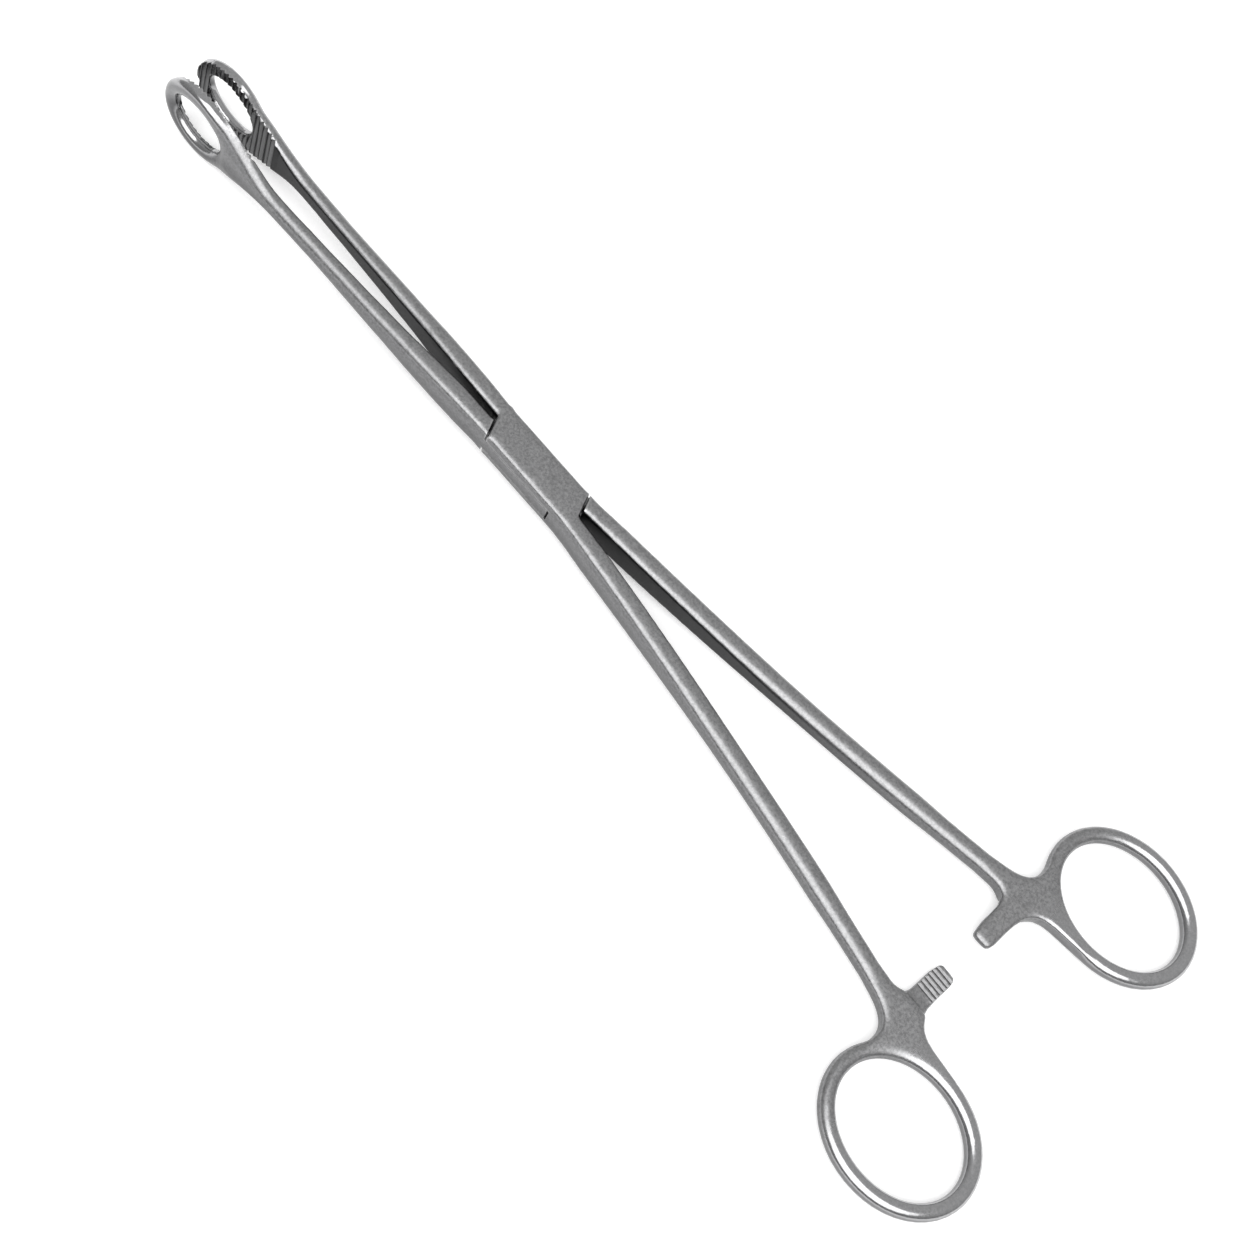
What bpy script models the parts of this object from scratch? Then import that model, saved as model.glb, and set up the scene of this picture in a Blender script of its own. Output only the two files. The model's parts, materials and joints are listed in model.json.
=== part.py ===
"""Sponge holding forceps, about 250 mm long, with a box lock.

Two forged halves cross in the lock. The tongue of the male half passes through
the slotted box of the female half, and one riveted pin, ground flush, joins them.
Each half runs from a serrated, fenestrated jaw loop through a slim shank, the lock
and a bowed handle to a ratchet arm and an oval finger ring.

Each half is modelled closed, in the lock's own frame: origin at the pin's centre,
+X towards the finger rings, +Z along the pin. The helper functions draw a half
whose jaw lies at +Y and whose handle lies at -Y. The female half is used as drawn,
and the male half is the same half turned over about X, with a tongue for a box.
"""

import math

import bmesh
import bpy
from mathutils import Matrix, Vector
from mathutils.geometry import interpolate_bezier

# Overall reach of each half from the pin, in metres
JAW_REACH = 0.1017
HANDLE_REACH = 0.1145

# Rest pose: each half stands this far open from jaws closed
REST_OPENING = math.radians(1.5)

# Box lock
LOCK_WIDTH = 0.0082
LOCK_THICKNESS = 0.0066
LOCK_EDGE_RADIUS = 0.0005
SHOULDER_DISTANCE = 0.0107
SHOULDER_SLANT = math.radians(24.0)
SHOULDER_GAP = 0.0002
SHOULDER_RELIEF = math.radians(3.0)
SHOULDER_ROOT = 0.0006
TONGUE_THICKNESS = 0.0029
TONGUE_FACE_CLEARANCE = 0.0001
TONGUE_END_RADIUS = 0.0085
TONGUE_END_CLEARANCE = 0.0004
TONGUE_SIDE_CLEARANCE = 0.0001
TONGUE_OVERLAP = 0.0012
PIN_RADIUS = 0.0016
PIN_SEAT_CLEARANCE = 0.00006
PIN_RUNNING_CLEARANCE = 0.00015
LIMB_ROOT = 0.0043

# Both halves stay this far from the centre plane when the jaws are closed
CENTRE_GAP = 0.00015

# Jaw shank and loop
JAW_BOW = 0.0004
JAW_BOW_START = 0.0214
JAW_SHANK_WIDTH = 0.0030
JAW_SHANK_THICKNESS = 0.0036
JAW_SLIM_REACH = 0.064
JAW_FLARE_REACH = 0.070
LOOP_HOLE_LENGTH = 0.0132
LOOP_HOLE_HEIGHT = 0.0102
LOOP_BAND_WIDTH = 0.0029
LOOP_THICKNESS = 0.0024
SERRATION_PITCH = 0.0012
SERRATION_DEPTH = 0.0004
SERRATION_CREST = 0.0002
SERRATED_LENGTH = 0.0230

# Handle shank: a shallow arc that leaves the lock with a small splay and ends spread out
HANDLE_WIDTH = 0.0041
HANDLE_THICKNESS = 0.0040
HANDLE_SPLAY = math.radians(3.64)
HANDLE_SPREAD = 0.01186
HANDLE_SLIM_REACH = 0.070

# Bow: the neck plate with the ratchet arm, and the finger ring
BOW_THICKNESS = 0.0035
NECK_EDGE_RADIUS = 0.0011
NECK_LENGTH = 0.0060
NECK_OUTER_MEET = math.radians(197.0)
NECK_INNER_MEET = math.radians(283.0)
NECK_PULL = 0.56
RING_HOLE_LENGTH = 0.0264
RING_HOLE_WIDTH = 0.0209
RING_WIRE_WIDTH = 0.0033
RING_WIRE_THICKNESS = 0.0034
RING_AHEAD = 0.0168
RING_OUTWARD = 0.0139
RING_OVERLAP = 0.0012
RATCHET_WIDTH = 0.0047
RATCHET_AHEAD = 0.0027
RATCHET_ROOT = 0.0034
RATCHET_FRONT_FREE = 0.0072
RATCHET_BACK_FREE = 0.0053
RATCHET_TIP_GAP = 0.00065
RATCHET_FACE_GAP = 0.0001
RATCHET_CORNER_RADIUS = 0.0014
TOOTH_PITCH = 0.0010
TOOTH_DEPTH = 0.00035
TOOTH_START = 0.0006
TOOTH_LAND = 0.0001
TOOTH_COUNT = 8

# Squareness of the sections: 2 is an ellipse, and more is nearer to a rectangle
FLAT_SQUARE = 9.0
LOCK_SQUARE = 9.0
JAW_FACE_SQUARE = 4.0
JAW_SIDE_SQUARE = 2.3
BAND_SQUARE = 2.8
HANDLE_SQUARE = 3.0
WIRE_SQUARE = 2.2

# Facets
SECTION_POINTS = 16
LOOP_SEGMENTS = 36
RING_SEGMENTS = 48
PIN_SEGMENTS = 32
JAW_STATIONS = 12
THROAT_STATIONS = 10
HANDLE_STATIONS = 12
NECK_RING_POINTS = 3

# Joined solids are set this far apart in level, so that no two faces coincide
STEP = 0.00003
# Cutters run this far past what they cut
OVERCUT = 0.0020
# Corners nearer than this are one
MERGE_DISTANCE = 0.000001

STEEL_COLOUR = (0.60, 0.60, 0.61, 1.0)
HALF_ROUGHNESS = 0.34
PIN_ROUGHNESS = 0.30


def ease(value):
    """Smooth step from 0 to 1 with level ends."""
    value = min(max(value, 0.0), 1.0)
    return value * value * (3.0 - 2.0 * value)


def mix(start, end, share):
    """Value between start and end at a share of the way."""
    return start + (end - start) * share


def limb_width_at_lock():
    """Width of a limb at the shoulder: at rest its side is flush with the box's side."""
    return LOCK_WIDTH / 2.0 - CENTRE_GAP - SHOULDER_DISTANCE * math.sin(REST_OPENING)


def squared_at_rest(points):
    """Points turned so that they lie square to the instrument in the rest pose."""
    turn = Matrix.Rotation(REST_OPENING, 2)
    return [tuple(turn @ Vector(point)) for point in points]


def loop_centre_reach():
    """Distance from the pin to the middle of the jaw loop's hole."""
    return JAW_REACH - LOOP_BAND_WIDTH - LOOP_HOLE_LENGTH / 2.0


def loop_half_height():
    """Half of the jaw loop's outer height."""
    return LOOP_HOLE_HEIGHT / 2.0 + LOOP_BAND_WIDTH


def jaw_face(reach):
    """Distance of the jaw's inner face from the centre plane: a slight bow."""
    share = (reach - JAW_BOW_START) / (JAW_REACH - JAW_BOW_START)
    share = min(max(share, 0.0), 1.0)
    return CENTRE_GAP + JAW_BOW * (1.0 - (2.0 * share - 1.0) ** 4)


def handle_centre(reach):
    """Distance of the handle shank's centre line from the centre plane."""
    length = HANDLE_REACH - SHOULDER_DISTANCE
    share = max(reach - SHOULDER_DISTANCE, 0.0) / length
    straight = math.tan(HANDLE_SPLAY) * length
    start = CENTRE_GAP + limb_width_at_lock() / 2.0
    return start + straight * share + (HANDLE_SPREAD - straight) * share * share


def power(value, exponent):
    """Signed power, for superellipse sections."""
    return math.copysign(abs(value) ** exponent, value)


def section(width, height, inner_square, outer_square):
    """Closed section in (across, up): a superellipse with its own squareness on each side.

    Across runs from the inner face at 0 to the outer side at width.
    """
    points = []
    for index in range(SECTION_POINTS):
        angle = 2.0 * math.pi * (index + 0.5) / SECTION_POINTS
        across = math.cos(angle)
        square = outer_square if across > 0.0 else inner_square
        points.append((
            width / 2.0 + width / 2.0 * power(across, 2.0 / square),
            height / 2.0 * power(math.sin(angle), 2.0 / square),
        ))
    return points


def new_object(name, mesh_bm):
    """Object from a bmesh, with its faces pointing out."""
    bmesh.ops.recalc_face_normals(mesh_bm, faces=mesh_bm.faces)
    mesh = bpy.data.meshes.new(name)
    mesh_bm.to_mesh(mesh)
    mesh_bm.free()
    obj = bpy.data.objects.new(name, mesh)
    bpy.context.scene.collection.objects.link(obj)
    return obj


def bridge(mesh_bm, first, second):
    """Faces between two rings of vertices with the same count."""
    count = len(first)
    for index in range(count):
        following = (index + 1) % count
        mesh_bm.faces.new((first[index], first[following], second[following], second[index]))


def loft(name, rings, closed=False):
    """Solid through rings of points: capped at both ends, or closed on itself."""
    mesh_bm = bmesh.new()
    rows = [[mesh_bm.verts.new(point) for point in ring] for ring in rings]
    for first, second in zip(rows, rows[1:]):
        bridge(mesh_bm, first, second)
    if closed:
        bridge(mesh_bm, rows[-1], rows[0])
    else:
        mesh_bm.faces.new(rows[0])
        mesh_bm.faces.new(rows[-1])
    return new_object(name, mesh_bm)


def rim_edges(mesh_bm):
    """Edges round the ends of a prism, each with both of its corners at one level."""
    return [edge for edge in mesh_bm.edges
            if abs(edge.verts[0].co.z - edge.verts[1].co.z) < MERGE_DISTANCE]


def prism(name, outline, low, high, edge_radius=0.0, segments=2):
    """Outline in the XY plane extruded from low to high, its rims rounded."""
    mesh_bm = bmesh.new()
    bottom = [mesh_bm.verts.new((x, y, low)) for x, y in outline]
    top = [mesh_bm.verts.new((x, y, high)) for x, y in outline]
    bridge(mesh_bm, bottom, top)
    mesh_bm.faces.new(bottom)
    mesh_bm.faces.new(top)
    bmesh.ops.recalc_face_normals(mesh_bm, faces=mesh_bm.faces)
    if edge_radius:
        bmesh.ops.bevel(mesh_bm, geom=rim_edges(mesh_bm), offset=edge_radius,
                        segments=segments, profile=0.5, affect="EDGES", clamp_overlap=True)
    return new_object(name, mesh_bm)


def fillet(outline, radii, segments=5):
    """Outline with each corner replaced by an arc of its own radius."""
    rounded = []
    count = len(outline)
    for index in range(count):
        corner = Vector(outline[index])
        if not radii[index]:
            rounded.append(tuple(corner))
            continue
        back = (Vector(outline[index - 1]) - corner).normalized()
        ahead = (Vector(outline[(index + 1) % count]) - corner).normalized()
        half = back.angle(ahead) / 2.0
        middle = corner + (back + ahead).normalized() * (radii[index] / math.sin(half))
        start = corner + back * (radii[index] / math.tan(half)) - middle
        end = corner + ahead * (radii[index] / math.tan(half)) - middle
        sweep = start.angle_signed(end)
        for step in range(segments + 1):
            turn = Matrix.Rotation(-sweep * step / segments, 2)
            rounded.append(tuple(middle + turn @ start))
    return rounded


def blend(start, start_way, end, end_way, segments=9):
    """Points of a curve that leaves and arrives along the given ways."""
    start = Vector(start)
    end = Vector(end)
    pull = (end - start).length * NECK_PULL
    leave = start + Vector(start_way).normalized() * pull
    arrive = end - Vector(end_way).normalized() * pull
    return [tuple(point) for point in interpolate_bezier(start, leave, arrive, end, segments)]


def arc(radius, start, end, segments=8):
    """Points of an arc about the pin, from one angle to another."""
    angles = [mix(start, end, index / segments) for index in range(segments + 1)]
    return [(radius * math.cos(angle), radius * math.sin(angle)) for angle in angles]


def combine(target, tool, operation):
    """Apply one Boolean to the target and remove the tool."""
    modifier = target.modifiers.new("combine", "BOOLEAN")
    modifier.operation = operation
    modifier.solver = "EXACT"
    modifier.object = tool
    graph = bpy.context.evaluated_depsgraph_get()
    result = bpy.data.meshes.new_from_object(target.evaluated_get(graph))
    target.modifiers.clear()
    target.data = result
    bpy.data.objects.remove(tool)


def join(target, tools):
    """Fuse the tools into the target."""
    for tool in tools:
        combine(target, tool, "UNION")


def cut(target, tools):
    """Cut the tools out of the target."""
    for tool in tools:
        combine(target, tool, "DIFFERENCE")


def jaw_ring(reach, width, height, inner_square, outer_square):
    """One section of the jaw limb, its flat face towards the centre plane."""
    face = jaw_face(reach)
    shape = section(width, height, inner_square, outer_square)
    return [(-reach, face + across, up) for across, up in shape]


def jaw_shank_rings():
    """Sections from inside the lock to the slim part of the jaw shank."""
    rings = []
    for index in range(JAW_STATIONS + 1):
        reach = mix(LIMB_ROOT, JAW_FLARE_REACH, index / JAW_STATIONS)
        share = ease((reach - SHOULDER_DISTANCE) / (JAW_SLIM_REACH - SHOULDER_DISTANCE))
        width = mix(limb_width_at_lock() - STEP, JAW_SHANK_WIDTH, share)
        height = mix(LOCK_THICKNESS - 2.0 * STEP, JAW_SHANK_THICKNESS, share)
        inner_square = mix(LOCK_SQUARE, JAW_FACE_SQUARE, share)
        outer_square = mix(LOCK_SQUARE, JAW_SIDE_SQUARE, share)
        rings.append(jaw_ring(reach, width, height, inner_square, outer_square))
    return rings


def throat_rings():
    """Sections that flare from the shank to the middle of the jaw loop."""
    rings = []
    end = loop_centre_reach()
    for index in range(1, THROAT_STATIONS + 1):
        reach = mix(JAW_FLARE_REACH, end, index / THROAT_STATIONS)
        share = ease(index / THROAT_STATIONS)
        width = mix(JAW_SHANK_WIDTH, LOOP_THICKNESS - STEP, share)
        height = mix(JAW_SHANK_THICKNESS, 2.0 * (loop_half_height() - STEP), share)
        inner_square = mix(JAW_FACE_SQUARE, FLAT_SQUARE, share)
        rings.append(jaw_ring(reach, width, height, inner_square, JAW_SIDE_SQUARE))
    return rings


def loop_band():
    """The band round the jaw's hole: a D section swept round an oval."""
    centre = loop_centre_reach()
    length = (LOOP_HOLE_LENGTH + LOOP_BAND_WIDTH) / 2.0
    height = (LOOP_HOLE_HEIGHT + LOOP_BAND_WIDTH) / 2.0
    shape = section(LOOP_THICKNESS, LOOP_BAND_WIDTH, FLAT_SQUARE, BAND_SQUARE)
    rings = []
    for index in range(LOOP_SEGMENTS):
        angle = 2.0 * math.pi * index / LOOP_SEGMENTS
        middle = Vector((length * math.cos(angle), height * math.sin(angle)))
        normal = Vector((math.cos(angle) / length, math.sin(angle) / height)).normalized()
        ring = []
        for across, out in shape:
            place = middle + normal * out
            reach = centre + place.x
            ring.append((-reach, jaw_face(reach) - STEP + across, place.y))
        rings.append(ring)
    return loft("loop_band", rings, closed=True)


def loop_hole_cutter():
    """Oval through the throat, hidden under the middle of the loop band."""
    centre = loop_centre_reach()
    length = (LOOP_HOLE_LENGTH + LOOP_BAND_WIDTH) / 2.0
    height = (LOOP_HOLE_HEIGHT + LOOP_BAND_WIDTH) / 2.0
    rings = []
    for across in (-OVERCUT, LOOP_THICKNESS + OVERCUT + JAW_BOW):
        ring = []
        for index in range(LOOP_SEGMENTS):
            angle = 2.0 * math.pi * (index + 0.5) / LOOP_SEGMENTS
            ring.append((-centre + length * math.cos(angle), across, height * math.sin(angle)))
        rings.append(ring)
    return loft("loop_hole_cutter", rings)


def serration_cutter(offset):
    """Row of V grooves across the jaw's inner face, from the tip into the throat."""
    half_width = (SERRATION_PITCH - SERRATION_CREST) / 2.0
    height = loop_half_height() + OVERCUT
    count = int(round(SERRATED_LENGTH / SERRATION_PITCH))
    mesh_bm = bmesh.new()
    for index in range(count):
        reach = JAW_REACH - SERRATION_PITCH * (index + 0.5 + offset)
        face = jaw_face(reach) - STEP
        slope = half_width / SERRATION_DEPTH
        mouth = half_width + slope * STEP * 4.0
        profile = ((reach - mouth, face - STEP * 4.0), (reach, face + SERRATION_DEPTH),
                   (reach + mouth, face - STEP * 4.0))
        low = [mesh_bm.verts.new((-along, across, -height)) for along, across in profile]
        high = [mesh_bm.verts.new((-along, across, height)) for along, across in profile]
        bridge(mesh_bm, low, high)
        mesh_bm.faces.new(low)
        mesh_bm.faces.new(high)
    return new_object("serration_cutter", mesh_bm)


def handle_limb():
    """Handle shank from inside the lock into the neck."""
    rings = []
    for index in range(HANDLE_STATIONS + 1):
        reach = mix(LIMB_ROOT, HANDLE_REACH, index / HANDLE_STATIONS)
        share = ease((reach - SHOULDER_DISTANCE) / (HANDLE_SLIM_REACH - SHOULDER_DISTANCE))
        thin = ease((reach - HANDLE_REACH + NECK_LENGTH) / NECK_LENGTH)
        width = mix(limb_width_at_lock() - STEP, HANDLE_WIDTH, share)
        height = mix(LOCK_THICKNESS - 2.0 * STEP, HANDLE_THICKNESS, share)
        height = mix(height, BOW_THICKNESS - 2.0 * STEP, thin)
        inner = handle_centre(reach) - width / 2.0
        square = mix(LOCK_SQUARE, HANDLE_SQUARE, share)
        shape = section(width, height, square, square)
        rings.append([(reach, -inner - across, up) for across, up in shape])
    return loft("handle_limb", rings)


def bow_point(ahead, outward):
    """Point of the bow, measured from the end of the handle shank."""
    return (HANDLE_REACH + ahead, -handle_centre(HANDLE_REACH) - outward)


def ring_point(angle, outside=0.0):
    """Point on the centre line of the ring's wire, or this far outside it, in bow measures."""
    length = (RING_HOLE_LENGTH + RING_WIRE_WIDTH) / 2.0 + outside
    width = (RING_HOLE_WIDTH + RING_WIRE_WIDTH) / 2.0 + outside
    return (RING_AHEAD + length * math.cos(angle), RING_OUTWARD + width * math.sin(angle))


def finger_ring():
    """Oval finger ring: a rounded wire section swept round the hole."""
    length = (RING_HOLE_LENGTH + RING_WIRE_WIDTH) / 2.0
    width = (RING_HOLE_WIDTH + RING_WIRE_WIDTH) / 2.0
    shape = section(RING_WIRE_WIDTH, RING_WIRE_THICKNESS, WIRE_SQUARE, WIRE_SQUARE)
    rings = []
    for index in range(RING_SEGMENTS):
        angle = 2.0 * math.pi * index / RING_SEGMENTS
        middle = Vector(ring_point(angle))
        normal = Vector((math.cos(angle) / length, math.sin(angle) / width)).normalized()
        ring = []
        for across, up in shape:
            place = middle + normal * (across - RING_WIRE_WIDTH / 2.0)
            ring.append((*bow_point(place.x, place.y), up))
        rings.append(ring)
    return loft("finger_ring", rings, closed=True)


def ring_way(angle):
    """Way along the ring as the angle grows."""
    length = (RING_HOLE_LENGTH + RING_WIRE_WIDTH) / 2.0
    width = (RING_HOLE_WIDTH + RING_WIRE_WIDTH) / 2.0
    return Vector((-length * math.sin(angle), width * math.cos(angle)))


def shank_edge(side):
    """Point on the shank's edge where the neck begins, in bow measures, and the way from it."""
    outward = handle_centre(HANDLE_REACH - NECK_LENGTH) - handle_centre(HANDLE_REACH)
    half_width = HANDLE_WIDTH / 2.0 - STEP
    return (-NECK_LENGTH, outward + side * half_width), Vector((NECK_LENGTH, -outward))


def neck_outline():
    """Plan of the neck with its ratchet arm: flowing blends from the shank to the ring and the arm."""
    outer_start, shank_way = shank_edge(1.0)
    inner_end = shank_edge(-1.0)[0]
    inside = RING_OVERLAP
    tip = RATCHET_TIP_GAP - handle_centre(HANDLE_REACH)
    front = RATCHET_AHEAD - RATCHET_WIDTH / 2.0
    back = RATCHET_AHEAD + RATCHET_WIDTH / 2.0
    outer = blend(outer_start, shank_way,
                  ring_point(NECK_OUTER_MEET, inside), -ring_way(NECK_OUTER_MEET))
    middle = [ring_point(mix(NECK_OUTER_MEET, NECK_INNER_MEET, (index + 0.5) / NECK_RING_POINTS))
              for index in range(NECK_RING_POINTS)]
    inner = blend(ring_point(NECK_INNER_MEET, inside), -ring_way(NECK_INNER_MEET),
                  (back, tip + RATCHET_BACK_FREE), (0.0, -1.0))
    root = blend((front, tip + RATCHET_FRONT_FREE), (0.0, 1.0), inner_end, -shank_way)
    points = outer + middle + inner + [(back, tip), (front, tip)] + root
    radii = [0.0] * len(points)
    corner = len(outer) + len(middle) + len(inner)
    radii[corner] = RATCHET_CORNER_RADIUS
    radii[corner + 1] = RATCHET_CORNER_RADIUS
    return [bow_point(ahead, outward) for ahead, outward in fillet(points, radii)]


def arm_step_cutter():
    """Room over the ratchet arm, which is half as thick as the neck."""
    front = RATCHET_AHEAD - RATCHET_WIDTH - OVERCUT
    back = RATCHET_AHEAD + RATCHET_WIDTH + OVERCUT
    tip = RATCHET_TIP_GAP - handle_centre(HANDLE_REACH) - OVERCUT
    corners = ((front, -RATCHET_ROOT), (back, -RATCHET_ROOT), (back, tip), (front, tip))
    outline = [bow_point(ahead, outward) for ahead, outward in corners]
    return prism("arm_step_cutter", outline, -RATCHET_FACE_GAP, BOW_THICKNESS)


def neck_plate():
    """Rounded plate between the shank and the ring, with the toothed ratchet arm."""
    half_thickness = BOW_THICKNESS / 2.0
    plate = prism("neck_plate", neck_outline(), -half_thickness, half_thickness, NECK_EDGE_RADIUS, 3)
    cut(plate, [arm_step_cutter(), tooth_cutter()])
    return plate


def tooth_cutter():
    """Row of saw-tooth notches across the ratchet arm's upper face."""
    front = HANDLE_REACH + RATCHET_AHEAD - RATCHET_WIDTH
    back = HANDLE_REACH + RATCHET_AHEAD + RATCHET_WIDTH
    mesh_bm = bmesh.new()
    for index in range(TOOTH_COUNT):
        steep = RATCHET_TIP_GAP + TOOTH_START + TOOTH_PITCH * index
        lift = RATCHET_FACE_GAP * 0.8
        profile = ((steep, -RATCHET_FACE_GAP - TOOTH_DEPTH), (steep, -RATCHET_FACE_GAP + lift),
                   (steep + TOOTH_PITCH - TOOTH_LAND, -RATCHET_FACE_GAP + lift))
        low = [mesh_bm.verts.new((front, -across, up)) for across, up in profile]
        high = [mesh_bm.verts.new((back, -across, up)) for across, up in profile]
        bridge(mesh_bm, low, high)
        mesh_bm.faces.new(low)
        mesh_bm.faces.new(high)
    return new_object("tooth_cutter", mesh_bm)


def limbs(name, serration_offset):
    """What both halves share: the jaw limb, and the handle limb with its bow."""
    jaw = loft(name, jaw_shank_rings() + throat_rings())
    cut(jaw, [loop_hole_cutter()])
    join(jaw, [loop_band()])
    cut(jaw, [serration_cutter(serration_offset)])
    handle = handle_limb()
    join(handle, [neck_plate(), finger_ring()])
    return jaw, handle


def slanted_x(distance, slant, across):
    """X where a line at a distance from the pin, slanted from square, meets a level across."""
    return (distance + across * math.sin(slant)) / math.cos(slant)


def cheek_outline():
    """Plan of the box: slanted shoulders towards the other half's limbs."""
    half = LOCK_WIDTH / 2.0
    outer = slanted_x(SHOULDER_DISTANCE, SHOULDER_SLANT, -half)
    inner = slanted_x(SHOULDER_DISTANCE, SHOULDER_SLANT, SHOULDER_ROOT)
    return squared_at_rest([(-outer, -half), (inner, -half), (inner, -SHOULDER_ROOT),
                            (outer, half), (-inner, half), (-inner, SHOULDER_ROOT)])


def box_block():
    """Solid box of the female half, before its slot is cut."""
    half = LOCK_THICKNESS / 2.0
    return prism("box_block", cheek_outline(), -half, half, LOCK_EDGE_RADIUS, 2)


def slot_cutter():
    """Slot through the box, with round ends in which the tongue turns."""
    wall = CENTRE_GAP + TONGUE_SIDE_CLEARANCE
    radius = TONGUE_END_RADIUS + TONGUE_END_CLEARANCE
    side = LOCK_WIDTH / 2.0 + OVERCUT
    end = SHOULDER_DISTANCE + OVERCUT
    far = -math.asin(side / radius)
    near = -math.asin(wall / radius)
    outline = [(-end, -side), *arc(radius, far, near), (end, -wall),
               (end, side), *arc(radius, math.pi + far, math.pi + near), (-end, wall)]
    half = TONGUE_THICKNESS / 2.0 + TONGUE_FACE_CLEARANCE
    return prism("slot_cutter", outline, -half, half)


def tongue_plate():
    """Thin middle of the male half, with round ends about the pin."""
    wall = CENTRE_GAP
    radius = TONGUE_END_RADIUS
    side = LOCK_WIDTH / 2.0
    end = SHOULDER_DISTANCE + TONGUE_OVERLAP
    far = math.asin(side / radius) + REST_OPENING
    near = math.asin(wall / radius)
    handle_side, jaw_side = squared_at_rest([(end, -side), (-end, side)])
    outline = [(-end, wall), *arc(radius, math.pi + near, math.pi + far), handle_side,
               (end, -wall), *arc(radius, near, far), jaw_side]
    half = TONGUE_THICKNESS / 2.0
    return prism("tongue_plate", outline, -half, half)


def cheek_recess_cutter(side):
    """Room for one cheek above or below the tongue, ending in slanted shoulders."""
    distance = SHOULDER_DISTANCE + SHOULDER_GAP
    slant = SHOULDER_SLANT + SHOULDER_RELIEF
    reach = LOCK_WIDTH
    near = slanted_x(distance, slant, -reach)
    far = slanted_x(distance, slant, reach)
    outline = squared_at_rest([(-near, reach), (-far, -reach), (near, -reach), (far, reach)])
    low = TONGUE_THICKNESS / 2.0
    high = LOCK_THICKNESS / 2.0 + OVERCUT
    if side > 0:
        return prism("cheek_recess_cutter", outline, low, high)
    return prism("cheek_recess_cutter", outline, -high, -low)


def pin_solid(name, radius, half_length):
    """Round bar along the lock's axis."""
    rings = []
    for level in (-half_length, half_length):
        angles = [2.0 * math.pi * index / PIN_SEGMENTS for index in range(PIN_SEGMENTS)]
        rings.append([(radius * math.cos(angle), radius * math.sin(angle), level) for angle in angles])
    return loft(name, rings)


def steel(name, roughness):
    """Satin stainless steel."""
    material = bpy.data.materials.new(name)
    material.use_nodes = True
    shader = material.node_tree.nodes["Principled BSDF"]
    shader.inputs["Base Color"].default_value = STEEL_COLOUR
    shader.inputs["Metallic"].default_value = 1.0
    shader.inputs["Roughness"].default_value = roughness
    return material


def finish(obj, roughness):
    """Own material, clean mesh and smooth shading with crisp edges."""
    mesh_bm = bmesh.new()
    mesh_bm.from_mesh(obj.data)
    bmesh.ops.remove_doubles(mesh_bm, verts=mesh_bm.verts, dist=MERGE_DISTANCE)
    bmesh.ops.dissolve_degenerate(mesh_bm, edges=mesh_bm.edges, dist=MERGE_DISTANCE)
    mesh_bm.to_mesh(obj.data)
    mesh_bm.free()
    obj.data.materials.clear()
    obj.data.materials.append(steel(obj.name + "_steel", roughness))
    obj.data.shade_smooth()
    obj.data.set_sharp_from_angle(angle=math.radians(35.0))


def female_half():
    """Half with the slotted box."""
    half, handle = limbs("female_half", 0.0)
    join(half, [box_block(), handle])
    bore = pin_solid("bore", PIN_RADIUS + PIN_SEAT_CLEARANCE, LOCK_THICKNESS)
    cut(half, [slot_cutter(), bore])
    half.rotation_euler.z = -REST_OPENING
    finish(half, HALF_ROUGHNESS)
    return half


def male_half():
    """Half with the tongue, turned over about X to lie opposite the female half."""
    half, handle = limbs("male_half", 0.5)
    for limb in (half, handle):
        cut(limb, [cheek_recess_cutter(1), cheek_recess_cutter(-1)])
    join(half, [tongue_plate(), handle])
    cut(half, [pin_solid("bore", PIN_RADIUS + PIN_RUNNING_CLEARANCE, LOCK_THICKNESS)])
    half.data.transform(Matrix.Rotation(math.pi, 4, "X"))
    half.rotation_euler.z = REST_OPENING
    finish(half, HALF_ROUGHNESS)
    return half


def lock_pin():
    """Riveted pin, ground flush with both cheeks."""
    pin = pin_solid("lock_pin", PIN_RADIUS, LOCK_THICKNESS / 2.0)
    finish(pin, PIN_ROUGHNESS)
    return pin


def world_points(pieces):
    """Every vertex of the pieces, in world space."""
    bpy.context.view_layer.update()
    return [piece.matrix_world @ vertex.co for piece in pieces for vertex in piece.data.vertices]


def lay_down(stand, pieces):
    """Lay the forceps on the ground: jaw loops and finger rings touch it.

    The jaw loops are taller than the rings, so the forceps tips until both rest.
    """
    for _ in range(6):
        points = world_points(pieces)
        jaw = min((point for point in points if point.x < 0.0), key=lambda point: point.z)
        ring = min((point for point in points if point.x > 0.0), key=lambda point: point.z)
        stand.rotation_euler.y += math.atan2(ring.z - jaw.z, ring.x - jaw.x)
    points = world_points(pieces)
    for axis in range(3):
        low = min(point[axis] for point in points)
        high = max(point[axis] for point in points)
        stand.location[axis] = -low if axis == 2 else -(low + high) / 2.0
    bpy.context.view_layer.update()


def main():
    """Build the forceps in an empty scene."""
    for obj in list(bpy.data.objects):
        bpy.data.objects.remove(obj)
    stand = bpy.data.objects.new("forceps_frame", None)
    bpy.context.scene.collection.objects.link(stand)
    pieces = [female_half(), male_half(), lock_pin()]
    for piece in pieces:
        piece.parent = stand
    lay_down(stand, pieces)


main()
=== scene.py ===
"""Looks of a sponge holding forceps: finished halves, satin steel with painted highlights, sheen and
shade, and a pale studio.

Each half starts as a copy of its solid. It is remeshed into small even faces, its
limbs, loop and ring are smoothed like a polished forging, and the jaw's grooves and
the ratchet's notches are cut again to a crisp edge. The lock keeps its ground flats
and sharp shoulders.
"""

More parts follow.
